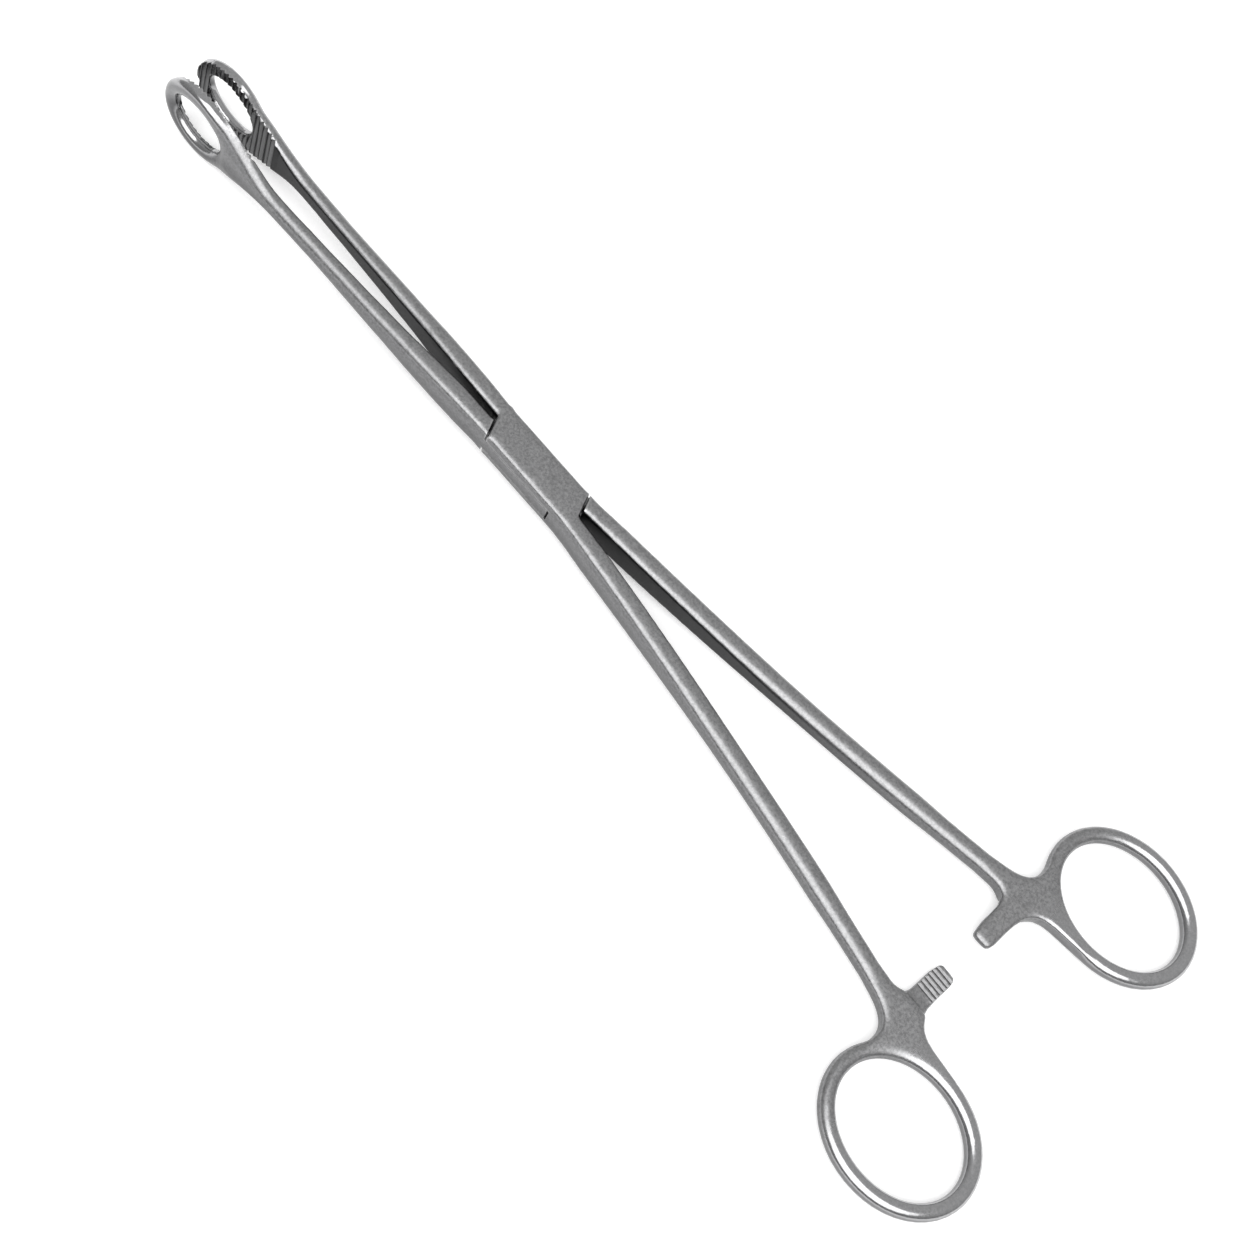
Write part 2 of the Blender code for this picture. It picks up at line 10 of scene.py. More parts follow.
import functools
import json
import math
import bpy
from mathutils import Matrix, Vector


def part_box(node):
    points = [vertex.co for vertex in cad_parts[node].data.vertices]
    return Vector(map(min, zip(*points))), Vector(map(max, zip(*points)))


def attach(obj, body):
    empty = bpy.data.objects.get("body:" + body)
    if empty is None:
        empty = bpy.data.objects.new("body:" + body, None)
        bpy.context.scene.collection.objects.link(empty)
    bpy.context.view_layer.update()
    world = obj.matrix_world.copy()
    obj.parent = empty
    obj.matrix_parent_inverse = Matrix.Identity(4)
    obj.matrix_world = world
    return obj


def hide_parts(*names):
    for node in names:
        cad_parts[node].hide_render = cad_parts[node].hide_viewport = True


bl_info = {
    "name": "Forceps Looks",
    "version": (1, 0, 0),
    "blender": (4, 5, 0),
    "location": "View3D > Sidebar > Forceps",
    "description": "Finished meshes, satin steel and a pale studio for a sponge holding forceps",
    "category": "Object",
}

import bpy
import numpy as np
from mathutils import Matrix, Vector

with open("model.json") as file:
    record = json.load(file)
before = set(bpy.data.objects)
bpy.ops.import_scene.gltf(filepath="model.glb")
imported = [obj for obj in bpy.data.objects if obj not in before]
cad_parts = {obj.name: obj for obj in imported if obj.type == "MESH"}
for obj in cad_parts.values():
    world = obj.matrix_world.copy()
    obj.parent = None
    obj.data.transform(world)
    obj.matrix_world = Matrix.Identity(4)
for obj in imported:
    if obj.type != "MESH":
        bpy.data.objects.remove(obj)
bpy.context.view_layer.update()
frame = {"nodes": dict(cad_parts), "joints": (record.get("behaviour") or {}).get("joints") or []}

HINGE = frame["joints"][0]
PIN_PLACE = Vector(HINGE["pos_m"])
PIN_AXIS = Vector(HINGE["axis"]).normalized()

# The lock's own frame: origin in the pin's middle, X to the finger rings, Z along the pin
PIN_LEAN = math.atan2(PIN_AXIS.x, PIN_AXIS.z)
LOCK_FRAME = Matrix.Translation(PIN_PLACE) @ Matrix.Rotation(PIN_LEAN, 4, "Y")

# Each half stands this far open in the photograph's pose
REST_OPENING = math.radians(-HINGE["range_deg"][0] / 2.0)

# Frames in which each half has its jaw at +Y and its handle at -Y
HALF_FRAMES = {
    "female_half": LOCK_FRAME @ Matrix.Rotation(-REST_OPENING, 4, "Z"),
    "male_half": LOCK_FRAME @ Matrix.Rotation(REST_OPENING, 4, "Z") @ Matrix.Rotation(math.pi, 4, "X"),
}
BODIES = {"female_half": "female", "male_half": "male", "lock_pin": "female"}

# Camera in the lock's frame, found from the photograph
CAMERA_PLACE = (0.07739, -0.17886, 0.35045)
CAMERA_ROWS = (
    (0.6571, 0.70565, 0.26508), (-0.74562, 0.5568, 0.36609), (0.11074, -0.43821, 0.89203))
PHOTO_SIZE = 1260.0
FOCAL_PIXELS = 2168.5
SENSOR_WIDTH = 36.0
CLIP_START = 0.01

# Meshes: depth of the remeshing grid, steps of weight in a vertex group, sides of the pin
REMESH_DEPTH = 10
WEIGHT_STEPS = 10
PIN_SIDES = 64

# Three-sided cylinder of radius 1: half of a side, and from a side to the ridge
BAR_HALF_SIDE = math.cos(math.radians(30.0))
BAR_HEIGHT = 1.5

# Cutters: how far they overrun the face, the notch's half width in tooth pitches, the part of
# the arm's width that is read for its level, and the male grooves' offset in groove pitches
GROOVE_OVERRUN = 1.2
NOTCH_OVERRUN = 1.5
NOTCH_HALF_WIDTH = 0.36
ARM_MIDDLE_PART = 6.0
MALE_GROOVE_OFFSET = 0.5

# Masks: rounds of growing, and what each round keeps
SHOULDER_SPREAD = (2, 0.75)
HOLE_SPREAD = (5, 0.88)

# Part of a face's normal from which it counts, and the range over which it sets in
SHOULDER_FACING = 0.4
HOLE_FACING = 0.5
NOTCH_UP = 0.5
LEVEL_UP, LEVEL_UP_BLEND = 0.55, 0.3
# CUT_UP, GAP_FACING and NOTCH_FACING choose the faces that take painted shade, SIDE_UP the sides
CUT_UP, CUT_UP_BLEND = 0.75, 0.2
GAP_FACING, GAP_FACING_BLEND = 0.6, 0.3
NOTCH_FACING, NOTCH_FACING_BLEND = 0.2, 0.2
SIDE_UP, SIDE_UP_BLEND = 0.66, 0.42

# Lengths in metres: where each effect starts, and the length over which it sets in
NEAREST_STATION = 0.001
HOLE_LEAN = 0.0005
# GAP: where the painted shade of the faces in the gap sets in and fades
GAP_START, GAP_BLEND, GAP_FADE = 0.0095, 0.002, 0.05
# RING_BLEND, LOOP_BLEND: where the polish and its painted sheen set in
RING_BLEND, LOOP_BLEND = 0.010, 0.012
# SIDE_HEIGHT: below it the sides' painted shade deepens
SIDE_HEIGHT, SIDE_HEIGHT_BLEND = 0.0015, 0.003
# PIN_RIM: within it no painted highlight or shade is laid round the pin
PIN_RIM, PIN_RIM_BLEND = 0.0024, 0.0006
BEND_UNIT = 0.0001

# Shares: the slim shank's blend in lock blends, the arm's level, the cut in groove depths,
# the painted shade of the faces in the gap, and of the sides above and further below; and the rounds
# that find and even the bends
SLIM_BLENDS = 2.0
LEVEL_SHARE = 0.9
CUT_DEPTH, CUT_BLEND = 1.15, 0.1
GAP_SHADE = 0.9
SIDE_SHADE, SIDE_LOW_SHADE = 0.72, 0.28
WIDE_ROUNDS, BEND_ROUNDS = 6, 2

# Satin: details and shares of clouds and finer marks, and how they carry to tint and roughness
CLOUD_DETAIL, FINE_DETAIL, FINE_SCALE = 5.0, 2.0, 3.0
CLOUD_SHARE, FINE_SHARE = 0.6, 0.4
TINT_RANGE = (-0.18, 0.18, 0.74, 1.24)
ROUGH_RANGE = (-0.2, 0.2, 0.88, 1.14)

# Grain: details and shares of scratches and specks
SCRATCH_DETAIL, SPECK_DETAIL = 3.0, 2.0
SCRATCH_SHARE, SPECK_SHARE = 0.65, 0.35

# Painted highlight and shade: bends at which edges are painted bright and grooves painted dark, and
# what a cut face keeps of the painted highlight
EDGE_BENDS = (0.3, 1.2)
GROOVE_BENDS = (-0.12, -0.7)
CUT_SHINE = 0.6

# Sky: from its dim end to its bright end, as a part of the bright direction
SKY_ENDS = (-0.35, 0.85)

# What every length setting shares
METRES = {"subtype": "DISTANCE", "unit": "LENGTH"}


class ForcepsShape(bpy.types.PropertyGroup):
    """Sizes of the finished meshes."""

    merge_distance: bpy.props.FloatProperty(
        name="Merge Distance", description="Corners closer than this become one",
        default=0.000002, min=0.0, precision=7, **METRES)
    mesh_fill: bpy.props.FloatProperty(
        name="Mesh Fill", description="Share of the remeshing grid that a half takes up",
        default=0.86, min=0.3, max=0.99, subtype="FACTOR")
    round_steps: bpy.props.IntProperty(
        name="Round Steps", description="Rounds of smoothing that soften the forging's edges",
        default=40, min=0, max=90)
    loop_round_steps: bpy.props.IntProperty(
        name="Loop Round Steps", description="Further rounds that make the jaw loop's band round",
        default=30, min=0, max=90)
    polish_steps: bpy.props.IntProperty(
        name="Polish Steps",
        description="Rounds of smoothing, in and out, that even the limbs, loop and ring",
        default=8, min=0, max=60)
    limb_swell: bpy.props.FloatProperty(
        name="Limb Swell",
        description="Thickness given back to the shanks after their edges are softened",
        default=0.00020, min=0.0, precision=5, **METRES)
    loop_swell: bpy.props.FloatProperty(
        name="Loop Swell",
        description="Thickness given back to the jaw loop after its edges are softened",
        default=0.00030, min=0.0, precision=5, **METRES)
    shank_round_steps: bpy.props.IntProperty(
        name="Shank Round Steps", description="Further rounds that make the jaw's slim shank round",
        default=45, min=0, max=120)
    arm_reach: bpy.props.FloatProperty(
        name="Arm Reach", description="Distance from the pin beyond which the ratchet arm lies",
        default=0.100, min=0.0, precision=4, **METRES)
    shoulder_soften: bpy.props.FloatProperty(
        name="Shoulder Soften",
        description="Share of the smoothing that reaches the lock's shoulders",
        default=0.08, min=0.0, max=1.0, subtype="FACTOR")
    ring_soften: bpy.props.FloatProperty(
        name="Ring Soften",
        description="Share of the smoothing that reaches the finger ring's wire",
        default=0.25, min=0.0, max=1.0, subtype="FACTOR")
    slot_keep: bpy.props.FloatProperty(
        name="Slot Keep",
        description="Height above and below the lock's middle that stays crisp beside the tongue",
        default=0.0017, min=0.0, precision=4, **METRES)
    lock_soften: bpy.props.FloatProperty(
        name="Lock Soften", description="Share of the smoothing that reaches the lock's edges",
        default=1.0, min=0.0, max=1.0, subtype="FACTOR")
    polish_push: bpy.props.FloatProperty(
        name="Polish Push",
        description="How far a point moves to its neighbours' middle in one round",
        default=0.6, min=0.0, max=1.0, subtype="FACTOR")
    polish_return: bpy.props.FloatProperty(
        name="Polish Return",
        description="Share of the push taken back, so that the polish doesn't thin the limbs",
        default=1.03, min=0.0, max=1.2, subtype="FACTOR")
    lock_keep: bpy.props.FloatProperty(
        name="Lock Keep", description="Distance from the pin within which the lock stays crisp",
        default=0.0110, min=0.0, precision=4, **METRES)
    lock_blend: bpy.props.FloatProperty(
        name="Lock Blend", description="Length over which the polish sets in beyond the lock",
        default=0.010, min=0.0001, precision=4, **METRES)
    groove_pitch: bpy.props.FloatProperty(
        name="Groove Pitch", description="Distance from one jaw groove to the next",
        default=0.0012, min=0.0002, precision=4, **METRES)
    groove_depth: bpy.props.FloatProperty(
        name="Groove Depth", description="Depth of the jaw grooves",
        default=0.00052, min=0.0001, precision=5, **METRES)
    groove_crest: bpy.props.FloatProperty(
        name="Groove Crest", description="Flat left between two jaw grooves",
        default=0.00012, min=0.0, precision=5, **METRES)
    groove_lift: bpy.props.FloatProperty(
        name="Groove Lift",
        description="Height above a face at which the cutters of its grooves or teeth start",
        default=0.00004, min=0.0, precision=5, **METRES)
    tooth_pitch: bpy.props.FloatProperty(
        name="Tooth Pitch", description="Distance from one ratchet tooth to the next",
        default=0.0010, min=0.0002, precision=4, **METRES)
    tooth_depth: bpy.props.FloatProperty(
        name="Tooth Depth", description="Depth of the notches between the ratchet teeth",
        default=0.00024, min=0.00005, precision=5, **METRES)
    tooth_start: bpy.props.FloatProperty(
        name="Tooth Start",
        description="Distance of the first notch from the tip of the ratchet arm",
        default=0.0012, min=0.0, precision=4, **METRES)
    arm_length: bpy.props.FloatProperty(
        name="Arm Length",
        description="Distance from the centre plane that only the ratchet arm reaches",
        default=0.0075, min=0.0, precision=4, **METRES)
    tooth_count: bpy.props.IntProperty(
        name="Tooth Count", description="Number of notches on the ratchet arm",
        default=6, min=0, max=20)
    # Painted shade on one wall of each ratchet notch
    tooth_shade: bpy.props.FloatProperty(
        name="Tooth Shade", description="How dark the notches between the ratchet teeth are",
        default=0.30, min=0.0, max=1.0, subtype="FACTOR")
    grooved_length: bpy.props.FloatProperty(
        name="Grooved Length", description="Length of the jaw that is grooved",
        default=0.023, min=0.001, precision=4, **METRES)
    face_clearance: bpy.props.FloatProperty(
        name="Face Clearance",
        description="How far the finished inner faces stay behind the solid's",
        default=0.00005, min=0.0, precision=5, **METRES)
    throat_blend: bpy.props.FloatProperty(
        name="Throat Blend",
        description="Length over which the crisp jaw face passes into the rounded shank",
        default=0.008, min=0.0001, precision=4, **METRES)
    face_keep: bpy.props.FloatProperty(
        name="Face Keep", description="Depth below the jaw's inner face that isn't smoothed",
        default=0.0007, min=0.0, precision=4, **METRES)
    bore_keep: bpy.props.FloatProperty(
        name="Bore Keep",
        description="Distance from the pin's axis within which nothing is smoothed",
        default=0.0022, min=0.0, precision=4, **METRES)
    pin_swell: bpy.props.FloatProperty(
        name="Pin Swell",
        description="How much the peening widens the pin, so that it fills its bores",
        default=0.00009, min=0.0, precision=5, **METRES)
    ring_reach: bpy.props.FloatProperty(
        name="Ring Reach",
        description="Distance from the pin beyond which the finger ring is polished",
        default=0.118, min=0.0, precision=4, **METRES)
    loop_reach: bpy.props.FloatProperty(
        name="Loop Reach",
        description="Distance from the pin beyond which the jaw loop is polished",
        default=0.080, min=0.0, precision=4, **METRES)
    crisp_angle: bpy.props.FloatProperty(
        name="Crisp Angle", description="Faces that meet at more than this keep a sharp edge",
        default=math.radians(38.0), min=0.0, max=math.pi, subtype="ANGLE", unit="ROTATION")


class ForcepsSteel(bpy.types.PropertyGroup):
    """Colours and surface of the steel, with the colours of its painted highlights, sheen and shade."""

    steel_colour: bpy.props.FloatVectorProperty(
        name="Steel Colour", description="Colour of the satin faces",
        default=(0.31, 0.31, 0.314), min=0.0, max=1.0, subtype="COLOR")
    # Painted highlight: colour laid on ridges and edges
    painted_highlight_colour: bpy.props.FloatVectorProperty(
        name="Painted Highlight Colour", description="Colour where an edge is polished bright",
        default=(0.62, 0.62, 0.626), min=0.0, max=1.0, subtype="COLOR")
    # Painted shade: the darker colour given to faces that turn sideways, deeper low down
    painted_side_shade_colour: bpy.props.FloatVectorProperty(
        name="Painted Side Shade Colour",
        description="Colour of the sides, left duller than the upper and lower faces",
        default=(0.12, 0.12, 0.123), min=0.0, max=1.0, subtype="COLOR")
    # Painted sheen: a lighter colour on the polished ring and loop, whose lower roughness is real
    painted_sheen_colour: bpy.props.FloatVectorProperty(
        name="Painted Sheen Colour", description="Colour of the polished finger ring and jaw loop",
        default=(0.42, 0.42, 0.427), min=0.0, max=1.0, subtype="COLOR")
    # Painted shade: colour of the cut jaw face, the grooves, the notches and the faces in the gap
    painted_shade_colour: bpy.props.FloatVectorProperty(
        name="Painted Shade Colour",
        description="Colour of the cut jaw face, and in the bottom of grooves and corners",
        default=(0.015, 0.015, 0.016), min=0.0, max=1.0, subtype="COLOR")
    satin_roughness: bpy.props.FloatProperty(
        name="Satin Roughness", description="Roughness of the satin faces",
        default=0.36, min=0.05, max=1.0, subtype="FACTOR")
    edge_roughness: bpy.props.FloatProperty(
        name="Edge Roughness", description="Roughness of the polished edges",
        default=0.24, min=0.05, max=1.0, subtype="FACTOR")
    bright_roughness: bpy.props.FloatProperty(
        name="Bright Roughness", description="Roughness of the polished finger ring and jaw loop",
        default=0.17, min=0.05, max=1.0, subtype="FACTOR")
    bright_mottle: bpy.props.FloatProperty(
        name="Bright Mottle",
        description="Share of the satin's cloudy marks on the polished ring and loop",
        default=0.35, min=0.0, max=1.0, subtype="FACTOR")
    # Strength of the painted highlight on ridges and edges
    painted_highlight_cover: bpy.props.FloatProperty(
        name="Painted Highlight Cover", description="How strongly the polished edges take their own colour",
        default=0.42, min=0.0, max=1.0, subtype="FACTOR")
    mottle_size: bpy.props.FloatProperty(
        name="Mottle Size", description="Size of the cloudy marks on the satin faces",
        default=0.0005, min=0.0001, precision=4, **METRES)
    grain_size: bpy.props.FloatProperty(
        name="Grain Size", description="Width of the finest scratches",
        default=0.00022, min=0.00002, precision=5, **METRES)
    grain_height: bpy.props.FloatProperty(
        name="Grain Height", description="Height of the finest scratches",
        default=0.000006, min=0.0, precision=6, **METRES)


class ForcepsStage(bpy.types.PropertyGroup):
    """Floor, light and sky."""

    floor_size: bpy.props.FloatProperty(
        name="Floor Size", description="Side of the square floor",
        default=40.0, min=0.5, **METRES)
    floor_colour: bpy.props.FloatVectorProperty(
        name="Floor Colour", description="Colour of the pale floor",
        default=(0.90, 0.90, 0.90), min=0.0, max=1.0, subtype="COLOR")
    floor_lift: bpy.props.FloatProperty(
        name="Floor Lift", description="What the floor shows beyond its lit colour, up to white",
        default=0.32, min=0.0, max=1.0, subtype="FACTOR")
    sky_bright: bpy.props.FloatProperty(
        name="Sky Bright", description="Brightness of the sky above and behind the forceps",
        default=0.62, min=0.0, max=2.0, subtype="FACTOR")
    sky_dim: bpy.props.FloatProperty(
        name="Sky Dim", description="Brightness of the sky low in front of the forceps",
        default=0.32, min=0.0, max=2.0, subtype="FACTOR")
    sky_way: bpy.props.FloatVectorProperty(
        name="Sky Way", description="Direction of the brightest part of the sky",
        default=(0.0, 0.77, 0.64), subtype="DIRECTION")
    key_strength: bpy.props.FloatProperty(
        name="Key Strength", description="Strength of the soft light from beside the camera",
        default=2.4, min=0.0)
    key_angle: bpy.props.FloatProperty(
        name="Key Angle", description="Width of the soft light, as seen from the forceps",
        default=math.radians(68.0), min=0.0, max=math.pi, subtype="ANGLE", unit="ROTATION")


def alone(obj):
    """Make this the only selected object, and the active one."""
    bpy.ops.object.select_all(action="DESELECT")
    obj.select_set(True)
    bpy.context.view_layer.objects.active = obj


def smooth_step(value):
    """Array eased from 0 to 1 with level ends."""
    value = np.clip(value, 0.0, 1.0)
    return value * value * (3.0 - 2.0 * value)


def vectors_of(items, name):
    """One vector for each vertex or face, as an array."""
    vectors = np.empty(len(items) * 3)
    items.foreach_get(name, vectors)
    return vectors.reshape(-1, 3)


def placed_in(points, matrix):
    """World points, in the frame of a matrix."""
    inverse = np.array(matrix.inverted())
    return points @ inverse[:3, :3].T + inverse[:3, 3]


def points_in(obj, matrix):
    """Vertices of a mesh as an array, in the frame of a matrix."""
    return placed_in(vectors_of(obj.data.vertices, "co"), matrix)


def normals_in(obj, matrix):
    """Vertex normals of a mesh as an array, in the frame of a matrix."""
    return vectors_of(obj.data.vertices, "normal") @ np.array(matrix.to_3x3())


def edges_of(obj):
    """Edges of a mesh as an array of vertex pairs."""
    edges = np.empty(len(obj.data.edges) * 2, dtype=np.int64)
    obj.data.edges.foreach_get("vertices", edges)
    return edges.reshape(-1, 2)


def spread(mask, edges, steps, fade):
    """Mask grown to its neighbours, a little weaker with each step."""
    for _ in range(steps):
        wider = mask.copy()
        np.maximum.at(wider, edges[:, 0], mask[edges[:, 1]] * fade)
        np.maximum.at(wider, edges[:, 1], mask[edges[:, 0]] * fade)
        mask = wider
    return mask


def copy_of_node(node_name, piece_name):
    """New piece with a copy of a node's mesh, its loose triangles merged."""
    node = frame["nodes"][node_name]
    piece = bpy.data.objects.new(piece_name, node.data.copy())
    bpy.context.scene.collection.objects.link(piece)
    piece.data.materials.clear()
    alone(piece)
    bpy.ops.object.mode_set(mode="EDIT")
    bpy.ops.mesh.select_all(action="SELECT")
    bpy.ops.mesh.remove_doubles(threshold=bpy.context.scene.forceps_shape.merge_distance)
    bpy.ops.object.mode_set(mode="OBJECT")
    return piece


def remesh(piece, fill):
    """Small even faces that keep the sharp edges."""
    modifier = piece.modifiers.new("Even Faces", "REMESH")
    modifier.mode = "SHARP"
    modifier.octree_depth = REMESH_DEPTH
    modifier.scale = fill
    modifier.use_remove_disconnected = False
    alone(piece)
    bpy.ops.object.modifier_apply(modifier=modifier.name)


def jaw_tip(node_name):
    """Distance of a jaw's tip from the pin, on the solid."""
    return -float(points_in(frame["nodes"][node_name], HALF_FRAMES[node_name])[:, 0].min())


def inner_face(points, reach, pitch):
    """Distance of the jaw's inner face from the centre plane, at a distance from the pin."""
    near = points[np.abs(-points[:, 0] - reach) < pitch]
    return float(near[:, 1].min())


def set_weights(piece, name, weight):
    """Vertex group in a few steps of weight."""
    group = piece.vertex_groups.new(name=name)
    step = 1.0 / WEIGHT_STEPS
    for level in np.linspace(step, 1.0, WEIGHT_STEPS):
        members = np.nonzero((weight > level - step) & (weight <= level))[0]
        group.add(members.tolist(), float(level), "REPLACE")


def beside_tongue(points, shape):
    """Which points lie in the lock at the tongue's level."""
    return (np.abs(points[:, 0]) < shape.lock_keep) & (np.abs(points[:, 2]) < shape.slot_keep)


def on_ratchet_arm(points, shape):
    """Which points lie on the ratchet arm."""
    return (points[:, 0] > shape.arm_reach) & (points[:, 1] > -shape.arm_length)


def shoulder_mask(piece, matrix, points, edges, shape):
    """Where the lock's shoulders are, which stay crisp."""
    normals = normals_in(piece, matrix)
    near = np.abs(points[:, 0]) < shape.lock_keep + shape.slot_keep
    mask = np.where(near & (np.abs(normals[:, 0]) > SHOULDER_FACING), 1.0, 0.0)
    return spread(mask, edges, *SHOULDER_SPREAD)


def hole_mask(piece, matrix, points, edges, shape):
    """Where the jaw loop's hole is, whose rim is rounded through the grooves."""
    normals = normals_in(piece, matrix)
    loop = -points[:, 0] > shape.loop_reach
    tip = -points[:, 0].min()
    wall = loop & (np.abs(normals[:, 1]) < HOLE_FACING)
    level = np.hypot(normals[:, 0], normals[:, 2])
    middle = (tip + (-points[wall, 0]).min()) / 2.0
    toward = -(normals[:, 0] * (points[:, 0] + middle) + normals[:, 2] * points[:, 2])
    mask = np.where(wall & (toward > HOLE_LEAN * level), 1.0, 0.0)
    return spread(mask, edges, *HOLE_SPREAD)


def polish_weights(piece, matrix, shape, tip):
    """Set the groups for the smoothing and the swell; returns the largest swell.

    The pin's bore, the slot beside the tongue and the jaw's face aren't smoothed.
    """
    points = points_in(piece, matrix)
    edges = edges_of(piece)
    along = points[:, 0]
    beyond_lock = smooth_step((np.abs(along) - shape.lock_keep) / shape.lock_blend)
    weight = shape.lock_soften + (1.0 - shape.lock_soften) * beyond_lock
    on_ring = smooth_step((along - shape.ring_reach) / shape.lock_blend)
    weight *= 1.0 - (1.0 - shape.ring_soften) * on_ring
    from_pin = np.hypot(along, points[:, 1])
    weight *= smooth_step((from_pin - shape.bore_keep) / shape.face_keep)
    weight[beside_tongue(points, shape)] = 0.0
    on_shoulder = shoulder_mask(piece, matrix, points, edges, shape)
    weight *= 1.0 - (1.0 - shape.shoulder_soften) * on_shoulder
    throat = tip - shape.grooved_length - shape.throat_blend
    grooved = -along > throat
    stations = np.arange(throat, tip, shape.groove_pitch)
    faces = [inner_face(points, max(reach, NEAREST_STATION), shape.groove_pitch) for reach in stations]
    depth = points[:, 1] - np.interp(-along, stations, faces)
    free = smooth_step((depth - shape.face_keep) / shape.face_keep)
    free = np.maximum(free, hole_mask(piece, matrix, points, edges, shape))
    behind = tip - shape.grooved_length + along
    free = np.maximum(free, smooth_step(behind / shape.throat_blend))
    weight[grooved] *= free[grooved]
    set_weights(piece, "polish", weight)
    loop = smooth_step((-along - shape.loop_reach) / shape.lock_blend)
    set_weights(piece, "loop", weight * loop)
    shank = beyond_lock * (1.0 - loop) * smooth_step((shape.arm_reach - along) / shape.lock_blend)
    swell = shape.limb_swell * shank * np.where(along > 0.0, 1.0, shape.loop_swell / shape.limb_swell)
    swell = np.maximum(swell, shape.loop_swell * loop * weight)
    set_weights(piece, "swell", swell / swell.max())
    slim = smooth_step((-along - shape.lock_keep - shape.lock_blend) / (shape.lock_blend * SLIM_BLENDS))
    set_weights(piece, "slim", weight * slim * (1.0 - loop))
    return float(swell.max())


def smooth_once(piece, group_name, factor, steps):
    """Apply one smoothing modifier to a vertex group."""
    modifier = piece.modifiers.new("Polish", "SMOOTH")
    modifier.factor = factor
    modifier.iterations = steps
    modifier.vertex_group = group_name
    bpy.ops.object.modifier_apply(modifier=modifier.name)


def polish(piece, matrix, shape, tip):
    """Round the forging's edges, then smooth it in and out, so that it keeps its size."""
    swell = polish_weights(piece, matrix, shape, tip)
    alone(piece)
    smooth_once(piece, "polish", shape.polish_push, shape.round_steps)
    smooth_once(piece, "loop", shape.polish_push, shape.loop_round_steps)
    smooth_once(piece, "slim", shape.polish_push, shape.shank_round_steps)
    for _ in range(shape.polish_steps):
        smooth_once(piece, "polish", shape.polish_push, 1)
        smooth_once(piece, "polish", -shape.polish_push * shape.polish_return, 1)
    modifier = piece.modifiers.new("Swell", "DISPLACE")
    modifier.mid_level = 0.0
    modifier.strength = swell
    modifier.vertex_group = "swell"
    bpy.ops.object.modifier_apply(modifier=modifier.name)
    piece.vertex_groups.clear()


def set_points(piece, matrix, points):
    """Place the vertices of a mesh, given in the frame of a matrix."""
    place = np.array(matrix)
    piece.data.vertices.foreach_set("co", (points @ place[:3, :3].T + place[:3, 3]).ravel())
    piece.data.update()


def hold_inner_faces(piece, matrix, before, shape):
    """Keep the inner faces of jaw and shanks behind the solid's, so that the halves still close."""
    points = points_in(piece, matrix)
    for side in (-1.0, 1.0):
        along, gap = before[:, 0] * side, -before[:, 1] * side
        stations = np.arange(shape.lock_keep, along.max(), shape.groove_pitch)
        near = shape.groove_pitch / 2.0
        levels = [gap[np.abs(along - station) < near].min() for station in stations]
        along, gap = points[:, 0] * side, -points[:, 1] * side
        held = along > shape.lock_keep
        gap = np.maximum(gap, np.interp(along, stations, levels) + shape.face_clearance)
        points[held, 1] = -gap[held] * side
    set_points(piece, matrix, points)


def level_arm(piece, matrix, shape):
    """Level the upper face of the ratchet arm, before its teeth are cut again."""
    points = points_in(piece, matrix)
    normals = normals_in(piece, matrix)
    on_arm = on_ratchet_arm(points, shape)
    on_arm &= points[:, 2] > np.median(points[on_arm][:, 2])
    share = smooth_step((normals[:, 2] - LEVEL_UP) / LEVEL_UP_BLEND) * on_arm
    level = float(np.median(points[share > LEVEL_SHARE][:, 2]))
    points[:, 2] += (level - points[:, 2]) * share
    set_points(piece, matrix, points)


def keep_in_box(piece, node_name):
    """Bring the few points that stand a hair outside the solid's box back onto it."""
    low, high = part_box(node_name)
    points = points_in(piece, Matrix.Identity(4))
    piece.data.vertices.foreach_set("co", np.clip(points, low, high).ravel())
    piece.data.update()


def groove_bar(half_width, depth, height):
    """Three-sided bar with its ridge at +Y, standing along Z, from a three-sided cylinder."""
    bpy.ops.object.select_all(action="DESELECT")
    bpy.ops.mesh.primitive_cylinder_add(vertices=3, radius=1.0, depth=height)
    bar = bpy.context.active_object
    size = (half_width / BAR_HALF_SIDE, depth / BAR_HEIGHT, 1.0)
    bpy.ops.object.mode_set(mode="EDIT")
    bpy.ops.mesh.select_all(action="SELECT")
    bpy.ops.transform.resize(value=size, center_override=(0.0, 0.0, 0.0))
    bpy.ops.transform.translate(value=(0.0, -depth / BAR_HEIGHT, 0.0))
    bpy.ops.object.mode_set(mode="OBJECT")
    return bar


def row_of_cutters(bar, places):
    """One object with a copy of a bar at each place."""
    bars = []
    for place in places:
        cutter = bar.copy()
        cutter.data = bar.data.copy()
        bpy.context.scene.collection.objects.link(cutter)
        cutter.matrix_world = place
        bars.append(cutter)
    bpy.data.objects.remove(bar)
    bpy.ops.object.select_all(action="DESELECT")
    for cutter in bars:
        cutter.select_set(True)
    bpy.context.view_layer.objects.active = bars[0]
    bpy.ops.object.join()
    bpy.ops.object.transform_apply(location=True, rotation=True, scale=True)
    return bpy.context.active_object


def groove_cutters(piece, matrix, shape, tip, offset):
    """One bar for each groove, along the jaw's inner face from the tip into the throat."""
    points = points_in(piece, matrix)
    half_width = (shape.groove_pitch - shape.groove_crest) / 2.0
    height = float(np.ptp(points[:, 2])) * GROOVE_OVERRUN
    grow = 1.0 + shape.groove_lift / shape.groove_depth
    places = []
    for index in range(int(round(shape.grooved_length / shape.groove_pitch))):
        reach = tip - shape.groove_pitch * (index + 0.5 + offset)
        face = inner_face(points, reach, shape.groove_pitch / 2.0)
        places.append(matrix @ Matrix.Translation((-reach, face + shape.groove_depth, 0.0)))
    return row_of_cutters(groove_bar(half_width * grow, shape.groove_depth * grow, height), places)


